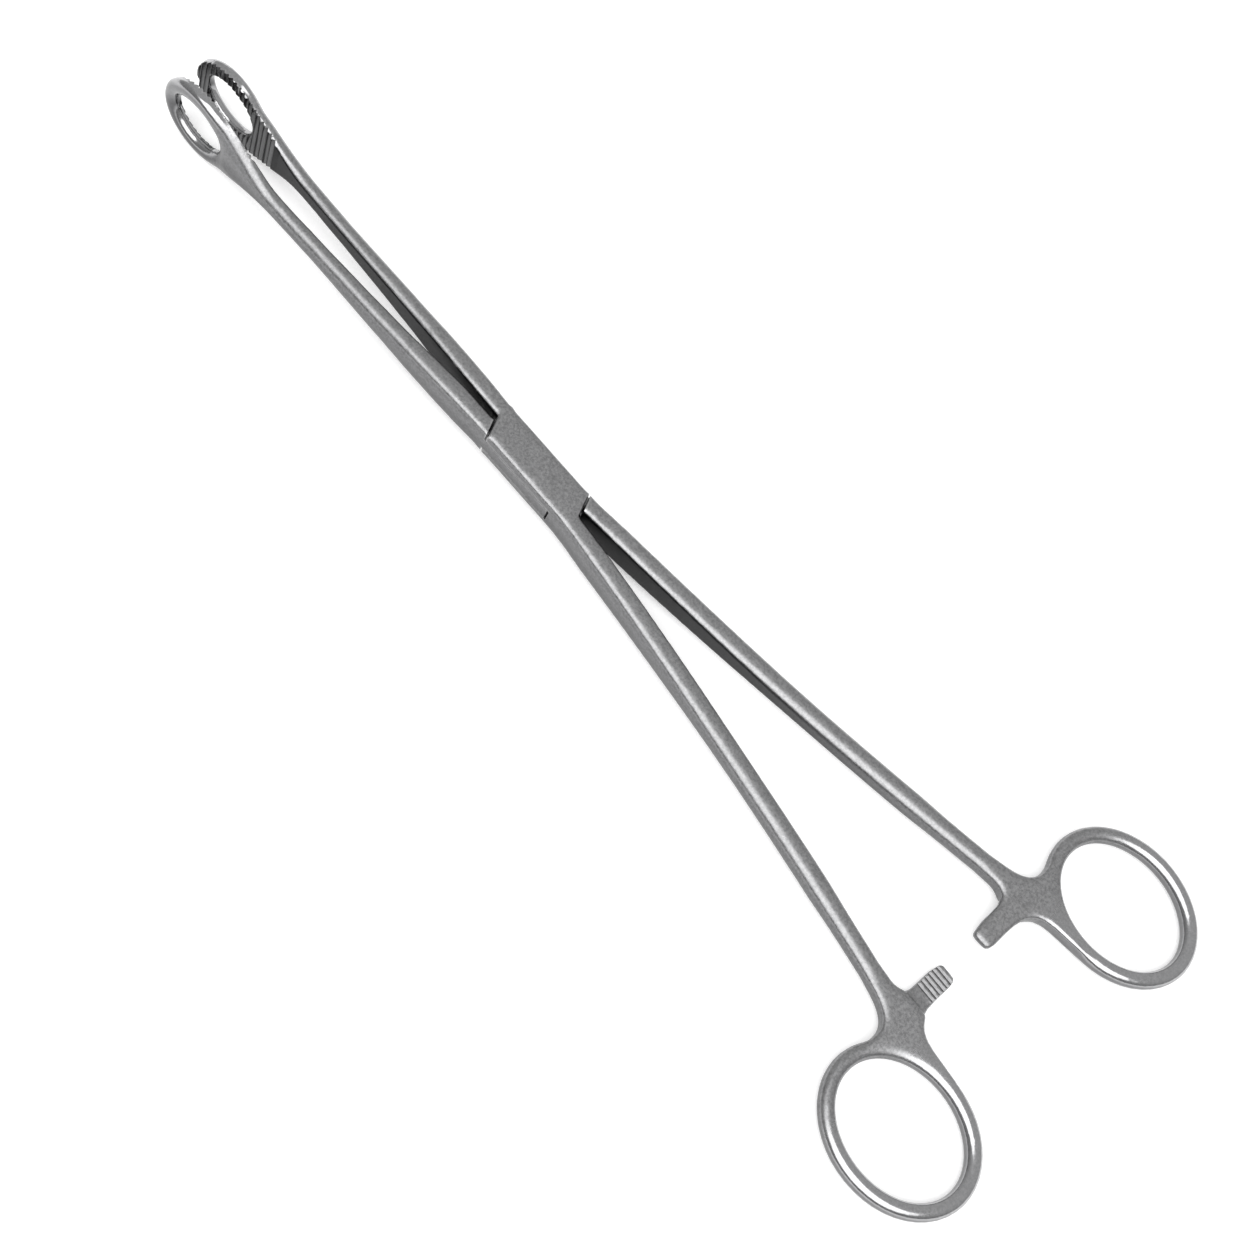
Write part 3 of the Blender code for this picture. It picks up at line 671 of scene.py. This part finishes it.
def tooth_cutters(piece, matrix, shape):
    """One bar for each notch, across the upper face of the ratchet arm."""
    points = points_in(piece, matrix)
    arm = points[on_ratchet_arm(points, shape)]
    tip = float(arm[:, 1].max())
    middle = float(arm[:, 0].min() + arm[:, 0].max()) / 2.0
    width = float(np.ptp(arm[:, 0])) * NOTCH_OVERRUN
    centre = arm[np.abs(arm[:, 0] - middle) < width / ARM_MIDDLE_PART]
    level = float(np.median(centre[centre[:, 2] > np.median(centre[:, 2])][:, 2]))
    grow = 1.0 + shape.groove_lift / shape.tooth_depth
    half_width = shape.tooth_pitch * NOTCH_HALF_WIDTH
    across = Matrix(((0.0, 0.0, 1.0), (-1.0, 0.0, 0.0), (0.0, -1.0, 0.0))).to_4x4()
    places = []
    for index in range(shape.tooth_count):
        place = (middle, tip - shape.tooth_start - shape.tooth_pitch * index, level - shape.tooth_depth)
        places.append(matrix @ Matrix.Translation(place) @ across)
    return row_of_cutters(groove_bar(half_width * grow, shape.tooth_depth * grow, width), places)


def cut_away(piece, cutter):
    """Cut one object out of a piece to a crisp edge."""
    modifier = piece.modifiers.new("Cut", "BOOLEAN")
    modifier.operation = "DIFFERENCE"
    modifier.solver = "MANIFOLD"
    modifier.object = cutter
    alone(piece)
    bpy.ops.object.modifier_apply(modifier=modifier.name)
    bpy.data.objects.remove(cutter)
    piece.data.materials.clear()
    slots = np.zeros(len(piece.data.polygons), dtype=np.int32)
    piece.data.polygons.foreach_set("material_index", slots)


def neighbour_mean(values, edges, count):
    """Mean of each vertex's neighbours."""
    total = np.zeros((count,) + values.shape[1:])
    number = np.zeros(count)
    np.add.at(total, edges[:, 0], values[edges[:, 1]])
    np.add.at(total, edges[:, 1], values[edges[:, 0]])
    np.add.at(number, edges.ravel(), 1.0)
    number = np.maximum(number, 1.0)
    return total / (number[:, None] if values.ndim > 1 else number)


def evened(values, edges, count, rounds):
    """Values moved halfway to their neighbours' mean, round by round."""
    for _ in range(rounds):
        values = 0.5 * values + 0.5 * neighbour_mean(values, edges, count)
    return values


def store(mesh, name, values, domain="POINT"):
    """Keep one number for each vertex or face, for the materials to read."""
    attribute = mesh.attributes.new(name, "FLOAT", domain)
    attribute.data.foreach_set("value", values.astype(np.float32))


def mark_painted_shade(piece, matrix, shape, tip):
    """Store the painted shade of each face: the cut jaw face and its grooves, one wall of each ratchet
    notch, and the limbs' faces in the gap between the halves.
    """
    points = points_in(piece, matrix)
    stations = np.arange(tip - shape.grooved_length - shape.groove_pitch, tip, shape.groove_pitch)
    levels = [inner_face(points, reach, shape.groove_pitch) for reach in stations]
    faces = piece.data.polygons
    centres = placed_in(vectors_of(faces, "center"), matrix)
    normals = vectors_of(faces, "normal") @ np.array(matrix.to_3x3())
    along = centres[:, 0]
    depth = centres[:, 1] - np.interp(-along, stations, levels)
    # Painted shade over the cut jaw face and its grooves
    cut = smooth_step((shape.groove_depth * CUT_DEPTH - depth) / (shape.groove_depth * CUT_BLEND))
    cut[-along < stations[0]] = 0.0
    cut *= smooth_step((CUT_UP - np.abs(normals[:, 2])) / CUT_UP_BLEND)
    # Painted shade on the limbs' faces that look into the gap between the halves
    inward = normals[:, 1] * np.sign(along)
    gap = smooth_step((np.abs(along) - GAP_START) / GAP_BLEND)
    gap = gap * smooth_step((shape.arm_reach - along) / GAP_FADE)
    cut = np.maximum(cut, GAP_SHADE * gap * smooth_step((inward - GAP_FACING) / GAP_FACING_BLEND))
    # Painted shade on the notch walls that lean one way
    on_arm = on_ratchet_arm(centres, shape) & (normals[:, 2] > NOTCH_UP)
    slant = smooth_step((np.abs(normals[on_arm, 1]) - NOTCH_FACING) / NOTCH_FACING_BLEND)
    cut[on_arm] = shape.tooth_shade * slant
    store(piece.data, "cut", cut, "FACE")


def mark_sheen_and_side_shade(piece, matrix, shape):
    """Store where a half is polished, where it also gets a lighter painted sheen, and the painted shade
    of its sides, darker further down.
    """
    points = points_in(piece, matrix)
    along = points[:, 0]
    ring = smooth_step((along - shape.ring_reach) / RING_BLEND)
    loop = smooth_step((-along - shape.loop_reach) / LOOP_BLEND)
    store(piece.data, "bright", np.maximum(ring, loop))
    normals = normals_in(piece, matrix)
    height = points_in(piece, LOCK_FRAME)[:, 2]
    # Painted shade on faces that turn sideways, deeper below SIDE_HEIGHT
    side = smooth_step((SIDE_UP - np.abs(normals[:, 2])) / SIDE_UP_BLEND)
    low = smooth_step((SIDE_HEIGHT - height) / SIDE_HEIGHT_BLEND)
    store(piece.data, "side", side * (SIDE_SHADE + SIDE_LOW_SHADE * low))


def mark_bends(piece, matrix, shape):
    """Store how far each point stands out from its neighbours: ridges above 0, grooves below."""
    mesh = piece.data
    count = len(mesh.vertices)
    points = vectors_of(mesh.vertices, "co")
    normals = normals_in(piece, Matrix.Identity(4))
    edges = edges_of(piece)
    wide = evened(points, edges, count, WIDE_ROUNDS)
    bend = ((points - wide) * normals).sum(axis=1) / BEND_UNIT
    bend = evened(bend, edges, count, BEND_ROUNDS)
    places = points_in(piece, matrix)
    bend *= smooth_step((np.hypot(places[:, 0], places[:, 1]) - PIN_RIM) / PIN_RIM_BLEND)
    bend[beside_tongue(places, shape)] = 0.0
    toothed = on_ratchet_arm(places, shape)
    bend[toothed] = np.minimum(bend[toothed], 0.0)
    # The bend sets the painted highlight on ridges and the painted shade in grooves; none round the pin
    # or beside the tongue, and no painted highlight on the ratchet's teeth
    store(mesh, "bend", bend)


def new_group(name, inputs, outputs):
    """Empty shader group with named float, colour or vector sockets."""
    group = bpy.data.node_groups.new(name, "ShaderNodeTree")
    kinds = {"float": "NodeSocketFloat", "colour": "NodeSocketColor", "vector": "NodeSocketVector"}
    for label, kind, value in inputs:
        socket = group.interface.new_socket(name=label, in_out="INPUT", socket_type=kinds[kind])
        socket.default_value = value
    for label, kind in outputs:
        group.interface.new_socket(name=label, in_out="OUTPUT", socket_type=kinds[kind])
    entry = group.nodes.new("NodeGroupInput")
    leave = group.nodes.new("NodeGroupOutput")
    return group, entry, leave


def math_node(tree, operation, first, second):
    """Math node whose inputs are sockets or numbers; returns its output."""
    node = tree.nodes.new("ShaderNodeMath")
    node.operation = operation
    for socket, value in zip(node.inputs, (first, second)):
        if isinstance(value, (int, float)):
            socket.default_value = value
        else:
            tree.links.new(value, socket)
    return node.outputs[0]


def noise_node(tree, vector, scale, detail):
    """Noise texture that reads a vector; returns its value."""
    node = tree.nodes.new("ShaderNodeTexNoise")
    node.inputs["Detail"].default_value = detail
    tree.links.new(vector, node.inputs["Vector"])
    if isinstance(scale, (int, float)):
        node.inputs["Scale"].default_value = scale
    else:
        tree.links.new(scale, node.inputs["Scale"])
    return node.outputs["Fac"]


def range_node(tree, value, low, high, out_low, out_high):
    """Value carried from one range to another, smoothly and within its ends."""
    node = tree.nodes.new("ShaderNodeMapRange")
    node.interpolation_type = "SMOOTHSTEP"
    tree.links.new(value, node.inputs["Value"])
    ends = {"From Min": low, "From Max": high, "To Min": out_low, "To Max": out_high}
    for label, number in ends.items():
        if isinstance(number, (int, float)):
            node.inputs[label].default_value = number
        else:
            tree.links.new(number, node.inputs[label])
    return node.outputs["Result"]


def colour_mix(tree, factor, first, second):
    """Colour between two, by a factor."""
    node = tree.nodes.new("ShaderNodeMix")
    node.data_type = "RGBA"
    tree.links.new(factor, node.inputs["Factor"])
    for socket, value in ((node.inputs[6], first), (node.inputs[7], second)):
        if isinstance(value, (tuple, list)):
            socket.default_value = value
        else:
            tree.links.new(value, socket)
    return node.outputs[2]


@functools.cache
def satin_group():
    """Cloudy satin: a tint and a roughness that wander a little over the surface."""
    group, entry, leave = new_group(
        "Satin Mottle",
        (("Vector", "vector", (0.0, 0.0, 0.0)), ("Colour", "colour", (0.5, 0.5, 0.5, 1.0)),
         ("Roughness", "float", 0.35), ("Size", "float", 0.002), ("Strength", "float", 1.0)),
        (("Colour", "colour"), ("Roughness", "float")))
    scale = math_node(group, "DIVIDE", 1.0, entry.outputs["Size"])
    cloud = noise_node(group, entry.outputs["Vector"], scale, CLOUD_DETAIL)
    finer = math_node(group, "MULTIPLY", scale, FINE_SCALE)
    fine = noise_node(group, entry.outputs["Vector"], finer, FINE_DETAIL)
    both = math_node(group, "ADD", math_node(group, "MULTIPLY", cloud, CLOUD_SHARE),
                     math_node(group, "MULTIPLY", fine, FINE_SHARE))
    both = math_node(group, "SUBTRACT", both, 0.5)
    both = math_node(group, "MULTIPLY", both, entry.outputs["Strength"])
    dark = group.nodes.new("ShaderNodeVectorMath")
    dark.operation = "SCALE"
    group.links.new(entry.outputs["Colour"], dark.inputs[0])
    group.links.new(range_node(group, both, *TINT_RANGE), dark.inputs["Scale"])
    group.links.new(dark.outputs[0], leave.inputs["Colour"])
    rough = math_node(group, "MULTIPLY", entry.outputs["Roughness"],
                      range_node(group, both, *ROUGH_RANGE))
    group.links.new(rough, leave.inputs["Roughness"])
    return group


@functools.cache
def grain_group():
    """Fine scratches that run along the instrument."""
    group, entry, leave = new_group(
        "Brushed Grain",
        (("Vector", "vector", (0.0, 0.0, 0.0)), ("Size", "float", 0.0002), ("Stretch", "float", 0.08)),
        (("Height", "float"),))
    stretch = group.nodes.new("ShaderNodeCombineXYZ")
    group.links.new(entry.outputs["Stretch"], stretch.inputs["X"])
    stretch.inputs["Y"].default_value = 1.0
    stretch.inputs["Z"].default_value = 1.0
    along = group.nodes.new("ShaderNodeVectorMath")
    along.operation = "MULTIPLY"
    group.links.new(entry.outputs["Vector"], along.inputs[0])
    group.links.new(stretch.outputs[0], along.inputs[1])
    scale = math_node(group, "DIVIDE", 1.0, entry.outputs["Size"])
    scratch = noise_node(group, along.outputs[0], scale, SCRATCH_DETAIL)
    speck = noise_node(group, entry.outputs["Vector"], scale, SPECK_DETAIL)
    height = math_node(group, "ADD", math_node(group, "MULTIPLY", scratch, SCRATCH_SHARE),
                       math_node(group, "MULTIPLY", speck, SPECK_SHARE))
    group.links.new(height, leave.inputs["Height"])
    return group


@functools.cache
def highlight_and_shade_group():
    """Painted highlight on ridges and painted shade in grooves and on shaded faces, from how far a
    point stands out and from the cut mask.
    """
    group, entry, leave = new_group(
        "Painted Highlight And Shade",
        (("Bend", "float", 0.0), ("Cut", "float", 0.0),
         ("Colour", "colour", (0.5, 0.5, 0.5, 1.0)), ("Roughness", "float", 0.35),
         ("Painted Highlight Colour", "colour", (0.6, 0.6, 0.6, 1.0)), ("Edge Roughness", "float", 0.25),
         ("Painted Shade Colour", "colour", (0.05, 0.05, 0.05, 1.0)), ("Painted Highlight Cover", "float", 1.0)),
        (("Colour", "colour"), ("Roughness", "float")))
    edge = range_node(group, entry.outputs["Bend"], *EDGE_BENDS, 0.0, entry.outputs["Painted Highlight Cover"])
    groove = range_node(group, entry.outputs["Bend"], *GROOVE_BENDS, 0.0, 1.0)
    covered = math_node(group, "MAXIMUM", groove, entry.outputs["Cut"])
    dark = colour_mix(group, covered, entry.outputs["Colour"], entry.outputs["Painted Shade Colour"])
    left = range_node(group, entry.outputs["Cut"], 0.0, 1.0, 1.0, CUT_SHINE)
    shine = math_node(group, "MULTIPLY", edge, left)
    bright = colour_mix(group, shine, dark, entry.outputs["Painted Highlight Colour"])
    group.links.new(bright, leave.inputs["Colour"])
    rough = range_node(
        group, shine, 0.0, 1.0, entry.outputs["Roughness"], entry.outputs["Edge Roughness"])
    group.links.new(rough, leave.inputs["Roughness"])
    return group


def place_group(tree, group):
    """Node that uses a shader group."""
    node = tree.nodes.new("ShaderNodeGroup")
    node.node_tree = group
    return node


def attribute_node(tree, name):
    """Number that the mesh keeps for each vertex or face."""
    node = tree.nodes.new("ShaderNodeAttribute")
    node.attribute_name = name
    return node.outputs["Fac"]


def steel_material(name, steel, has_marks):
    """Satin stainless steel with fine scratches; with marks it also has painted highlights on its
    edges, painted shade in grooves, in the gap and on the sides, and a lighter painted sheen on the
    polished ring and loop.
    """
    material = bpy.data.materials.new(name)
    material.use_nodes = True
    tree = material.node_tree
    shader = tree.nodes["Principled BSDF"]
    shader.inputs["Metallic"].default_value = 1.0
    place = tree.nodes.new("ShaderNodeTexCoord")
    satin = place_group(tree, satin_group())
    tree.links.new(place.outputs["Object"], satin.inputs["Vector"])
    satin.inputs["Size"].default_value = steel.mottle_size
    if has_marks:
        # The polished ring and loop get lower roughness and less mottle, and a lighter colour as
        # painted sheen; the sides get a darker colour as painted shade
        bright = attribute_node(tree, "bright")
        face = colour_mix(tree, bright, (*steel.steel_colour, 1.0), (*steel.painted_sheen_colour, 1.0))
        tree.links.new(colour_mix(tree, attribute_node(tree, "side"), face, (*steel.painted_side_shade_colour, 1.0)),
                       satin.inputs["Colour"])
        shine = range_node(tree, bright, 0.0, 1.0, steel.satin_roughness, steel.bright_roughness)
        tree.links.new(shine, satin.inputs["Roughness"])
        mottle = range_node(tree, bright, 0.0, 1.0, 1.0, steel.bright_mottle)
        tree.links.new(mottle, satin.inputs["Strength"])
    else:
        satin.inputs["Colour"].default_value = (*steel.steel_colour, 1.0)
        satin.inputs["Roughness"].default_value = steel.satin_roughness
    colour = satin.outputs["Colour"]
    rough = satin.outputs["Roughness"]
    if has_marks:
        # Painted highlight on ridges, painted shade in grooves and on shaded faces
        painted_light = place_group(tree, highlight_and_shade_group())
        tree.links.new(attribute_node(tree, "bend"), painted_light.inputs["Bend"])
        tree.links.new(attribute_node(tree, "cut"), painted_light.inputs["Cut"])
        tree.links.new(colour, painted_light.inputs["Colour"])
        tree.links.new(rough, painted_light.inputs["Roughness"])
        painted_light.inputs["Painted Highlight Colour"].default_value = (*steel.painted_highlight_colour, 1.0)
        painted_light.inputs["Edge Roughness"].default_value = steel.edge_roughness
        painted_light.inputs["Painted Highlight Cover"].default_value = steel.painted_highlight_cover
        painted_light.inputs["Painted Shade Colour"].default_value = (*steel.painted_shade_colour, 1.0)
        colour = painted_light.outputs["Colour"]
        rough = painted_light.outputs["Roughness"]
    tree.links.new(colour, shader.inputs["Base Color"])
    tree.links.new(rough, shader.inputs["Roughness"])
    grain = place_group(tree, grain_group())
    tree.links.new(place.outputs["Object"], grain.inputs["Vector"])
    grain.inputs["Size"].default_value = steel.grain_size
    bump = tree.nodes.new("ShaderNodeBump")
    bump.inputs["Strength"].default_value = 1.0
    bump.inputs["Distance"].default_value = steel.grain_height
    tree.links.new(grain.outputs["Height"], bump.inputs["Height"])
    tree.links.new(bump.outputs["Normal"], shader.inputs["Normal"])
    return material


def make_half(node_name, piece_name, groove_offset):
    """One finished half in place of its solid."""
    scene = bpy.context.scene
    shape = scene.forceps_shape
    matrix = HALF_FRAMES[node_name]
    piece = copy_of_node(node_name, piece_name)
    remesh(piece, shape.mesh_fill)
    tip = jaw_tip(node_name)
    before = points_in(piece, matrix)
    polish(piece, matrix, shape, tip)
    hold_inner_faces(piece, matrix, before, shape)
    level_arm(piece, matrix, shape)
    keep_in_box(piece, node_name)
    cut_away(piece, groove_cutters(piece, matrix, shape, tip, groove_offset))
    cut_away(piece, tooth_cutters(piece, matrix, shape))
    mark_painted_shade(piece, matrix, shape, tip)
    mark_sheen_and_side_shade(piece, matrix, shape)
    mark_bends(piece, matrix, shape)
    alone(piece)
    bpy.ops.object.shade_smooth_by_angle(angle=shape.crisp_angle)
    piece.data.materials.append(steel_material(piece_name + "_steel", scene.forceps_steel, True))
    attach(piece, BODIES[node_name])
    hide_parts(node_name)


class FORCEPS_OT_female_half(bpy.types.Operator):
    """Make the half with the slotted box."""

    bl_idname = "forceps.female_half"
    bl_label = "Female Half"

    def execute(self, context):
        make_half("female_half", "finished_female_half", 0.0)
        return {"FINISHED"}


class FORCEPS_OT_male_half(bpy.types.Operator):
    """Make the half with the tongue."""

    bl_idname = "forceps.male_half"
    bl_label = "Male Half"

    def execute(self, context):
        make_half("male_half", "finished_male_half", MALE_GROOVE_OFFSET)
        return {"FINISHED"}


class FORCEPS_OT_lock_pin(bpy.types.Operator):
    """Make the lock pin, peened tight in its cheeks and ground flush with them."""

    bl_idname = "forceps.lock_pin"
    bl_label = "Lock Pin"

    def execute(self, context):
        scene = context.scene
        points = points_in(frame["nodes"]["lock_pin"], LOCK_FRAME)
        radius = float(np.linalg.norm(points[:, :2], axis=1).max()) + scene.forceps_shape.pin_swell
        bpy.ops.object.select_all(action="DESELECT")
        bpy.ops.mesh.primitive_cylinder_add(
            vertices=PIN_SIDES, radius=radius, depth=float(np.ptp(points[:, 2])))
        pin = context.active_object
        pin.name = "finished_lock_pin"
        pin.matrix_world = LOCK_FRAME
        bpy.ops.object.transform_apply(location=True, rotation=True, scale=True)
        bpy.ops.object.shade_smooth_by_angle(angle=scene.forceps_shape.crisp_angle)
        pin.data.materials.append(steel_material("pin_steel_finish", scene.forceps_steel, False))
        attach(pin, BODIES["lock_pin"])
        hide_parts("lock_pin")
        return {"FINISHED"}


def floor_material(stage):
    """Pale floor that shows white where no shadow falls."""
    material = bpy.data.materials.new("pale_floor")
    material.use_nodes = True
    tree = material.node_tree
    tree.nodes.remove(tree.nodes["Principled BSDF"])
    paint = tree.nodes.new("ShaderNodeBsdfDiffuse")
    paint.inputs["Color"].default_value = (*stage.floor_colour, 1.0)
    lift = tree.nodes.new("ShaderNodeEmission")
    rays = tree.nodes.new("ShaderNodeLightPath")
    seen = math_node(tree, "MAXIMUM", rays.outputs["Is Camera Ray"], rays.outputs["Is Glossy Ray"])
    seen = math_node(tree, "MAXIMUM", seen, rays.outputs["Is Transmission Ray"])
    tree.links.new(math_node(tree, "MULTIPLY", seen, stage.floor_lift), lift.inputs["Strength"])
    both = tree.nodes.new("ShaderNodeAddShader")
    tree.links.new(paint.outputs[0], both.inputs[0])
    tree.links.new(lift.outputs[0], both.inputs[1])
    tree.links.new(both.outputs[0], tree.nodes["Material Output"].inputs["Surface"])
    return material


def make_floor(stage):
    """Square floor under the forceps."""
    bpy.ops.object.select_all(action="DESELECT")
    bpy.ops.mesh.primitive_plane_add(size=stage.floor_size, location=(0.0, 0.0, 0.0))
    floor = bpy.context.active_object
    floor.name = "pale_floor"
    floor.data.materials.append(floor_material(stage))


def make_sky(stage):
    """Soft sky, bright above and behind the forceps and dim low in front of it."""
    world = bpy.data.worlds.new("studio_sky")
    bpy.context.scene.world = world
    world.use_nodes = True
    tree = world.node_tree
    place = tree.nodes.new("ShaderNodeTexCoord")
    toward = tree.nodes.new("ShaderNodeVectorMath")
    toward.operation = "DOT_PRODUCT"
    tree.links.new(place.outputs["Generated"], toward.inputs[0])
    toward.inputs[1].default_value = stage.sky_way
    level = range_node(tree, toward.outputs["Value"], *SKY_ENDS, stage.sky_dim, stage.sky_bright)
    back = tree.nodes["Background"]
    back.inputs["Color"].default_value = (1.0, 1.0, 1.0, 1.0)
    tree.links.new(level, back.inputs["Strength"])


def make_key_light(stage, camera):
    """Wide soft light from beside the camera."""
    bpy.ops.object.select_all(action="DESELECT")
    bpy.ops.object.light_add(type="SUN", location=camera.location, rotation=camera.rotation_euler)
    light = bpy.context.active_object
    light.name = "key_light"
    light.data.energy = stage.key_strength
    light.data.angle = stage.key_angle


def make_camera():
    """Camera at the photograph's place and angle."""
    turn = Matrix(CAMERA_ROWS).transposed().to_4x4()
    bpy.ops.object.select_all(action="DESELECT")
    bpy.ops.object.camera_add()
    camera = bpy.context.active_object
    camera.name = "photo_camera"
    camera.matrix_world = LOCK_FRAME @ Matrix.Translation(CAMERA_PLACE) @ turn
    camera.data.sensor_width = SENSOR_WIDTH
    camera.data.lens = SENSOR_WIDTH * FOCAL_PIXELS / PHOTO_SIZE
    camera.data.clip_start = CLIP_START
    bpy.context.scene.camera = camera
    return camera


class FORCEPS_OT_stage(bpy.types.Operator):
    """Make the floor, the light, the sky and the camera."""

    bl_idname = "forceps.stage"
    bl_label = "Stage"

    def execute(self, context):
        scene = context.scene
        stage = scene.forceps_stage
        make_floor(stage)
        make_sky(stage)
        make_key_light(stage, make_camera())
        scene.view_settings.view_transform = "Standard"
        return {"FINISHED"}


class FORCEPS_PT_looks(bpy.types.Panel):
    """Sidebar panel with the sizes, the steel, the stage and their buttons."""

    bl_label = "Forceps"
    bl_idname = "FORCEPS_PT_looks"
    bl_space_type = "VIEW_3D"
    bl_region_type = "UI"
    bl_category = "Forceps"

    def draw(self, context):
        layout = self.layout
        scene = context.scene
        for settings in (scene.forceps_shape, scene.forceps_steel, scene.forceps_stage):
            box = layout.box()
            for name in settings.bl_rna.properties.keys():
                if name not in {"rna_type", "name"}:
                    box.prop(settings, name)
        for operator in OPERATORS:
            layout.operator(operator.bl_idname)


SETTINGS = {
    "forceps_shape": ForcepsShape, "forceps_steel": ForcepsSteel, "forceps_stage": ForcepsStage}
OPERATORS = (
    FORCEPS_OT_female_half, FORCEPS_OT_male_half, FORCEPS_OT_lock_pin, FORCEPS_OT_stage)


def register():
    """Register the settings, the operators and the panel."""
    for name, group in SETTINGS.items():
        bpy.utils.register_class(group)
        setattr(bpy.types.Scene, name, bpy.props.PointerProperty(type=group))
    for operator in OPERATORS:
        bpy.utils.register_class(operator)
    bpy.utils.register_class(FORCEPS_PT_looks)


def unregister():
    """Remove what register added."""
    bpy.utils.unregister_class(FORCEPS_PT_looks)
    for operator in reversed(OPERATORS):
        bpy.utils.unregister_class(operator)
    for name, group in SETTINGS.items():
        delattr(bpy.types.Scene, name)
        bpy.utils.unregister_class(group)


def main():
    """Make every piece and the stage."""
    register()
    bpy.ops.forceps.female_half()
    bpy.ops.forceps.male_half()
    bpy.ops.forceps.lock_pin()
    bpy.ops.forceps.stage()


if __name__ == "__main__":
    main()
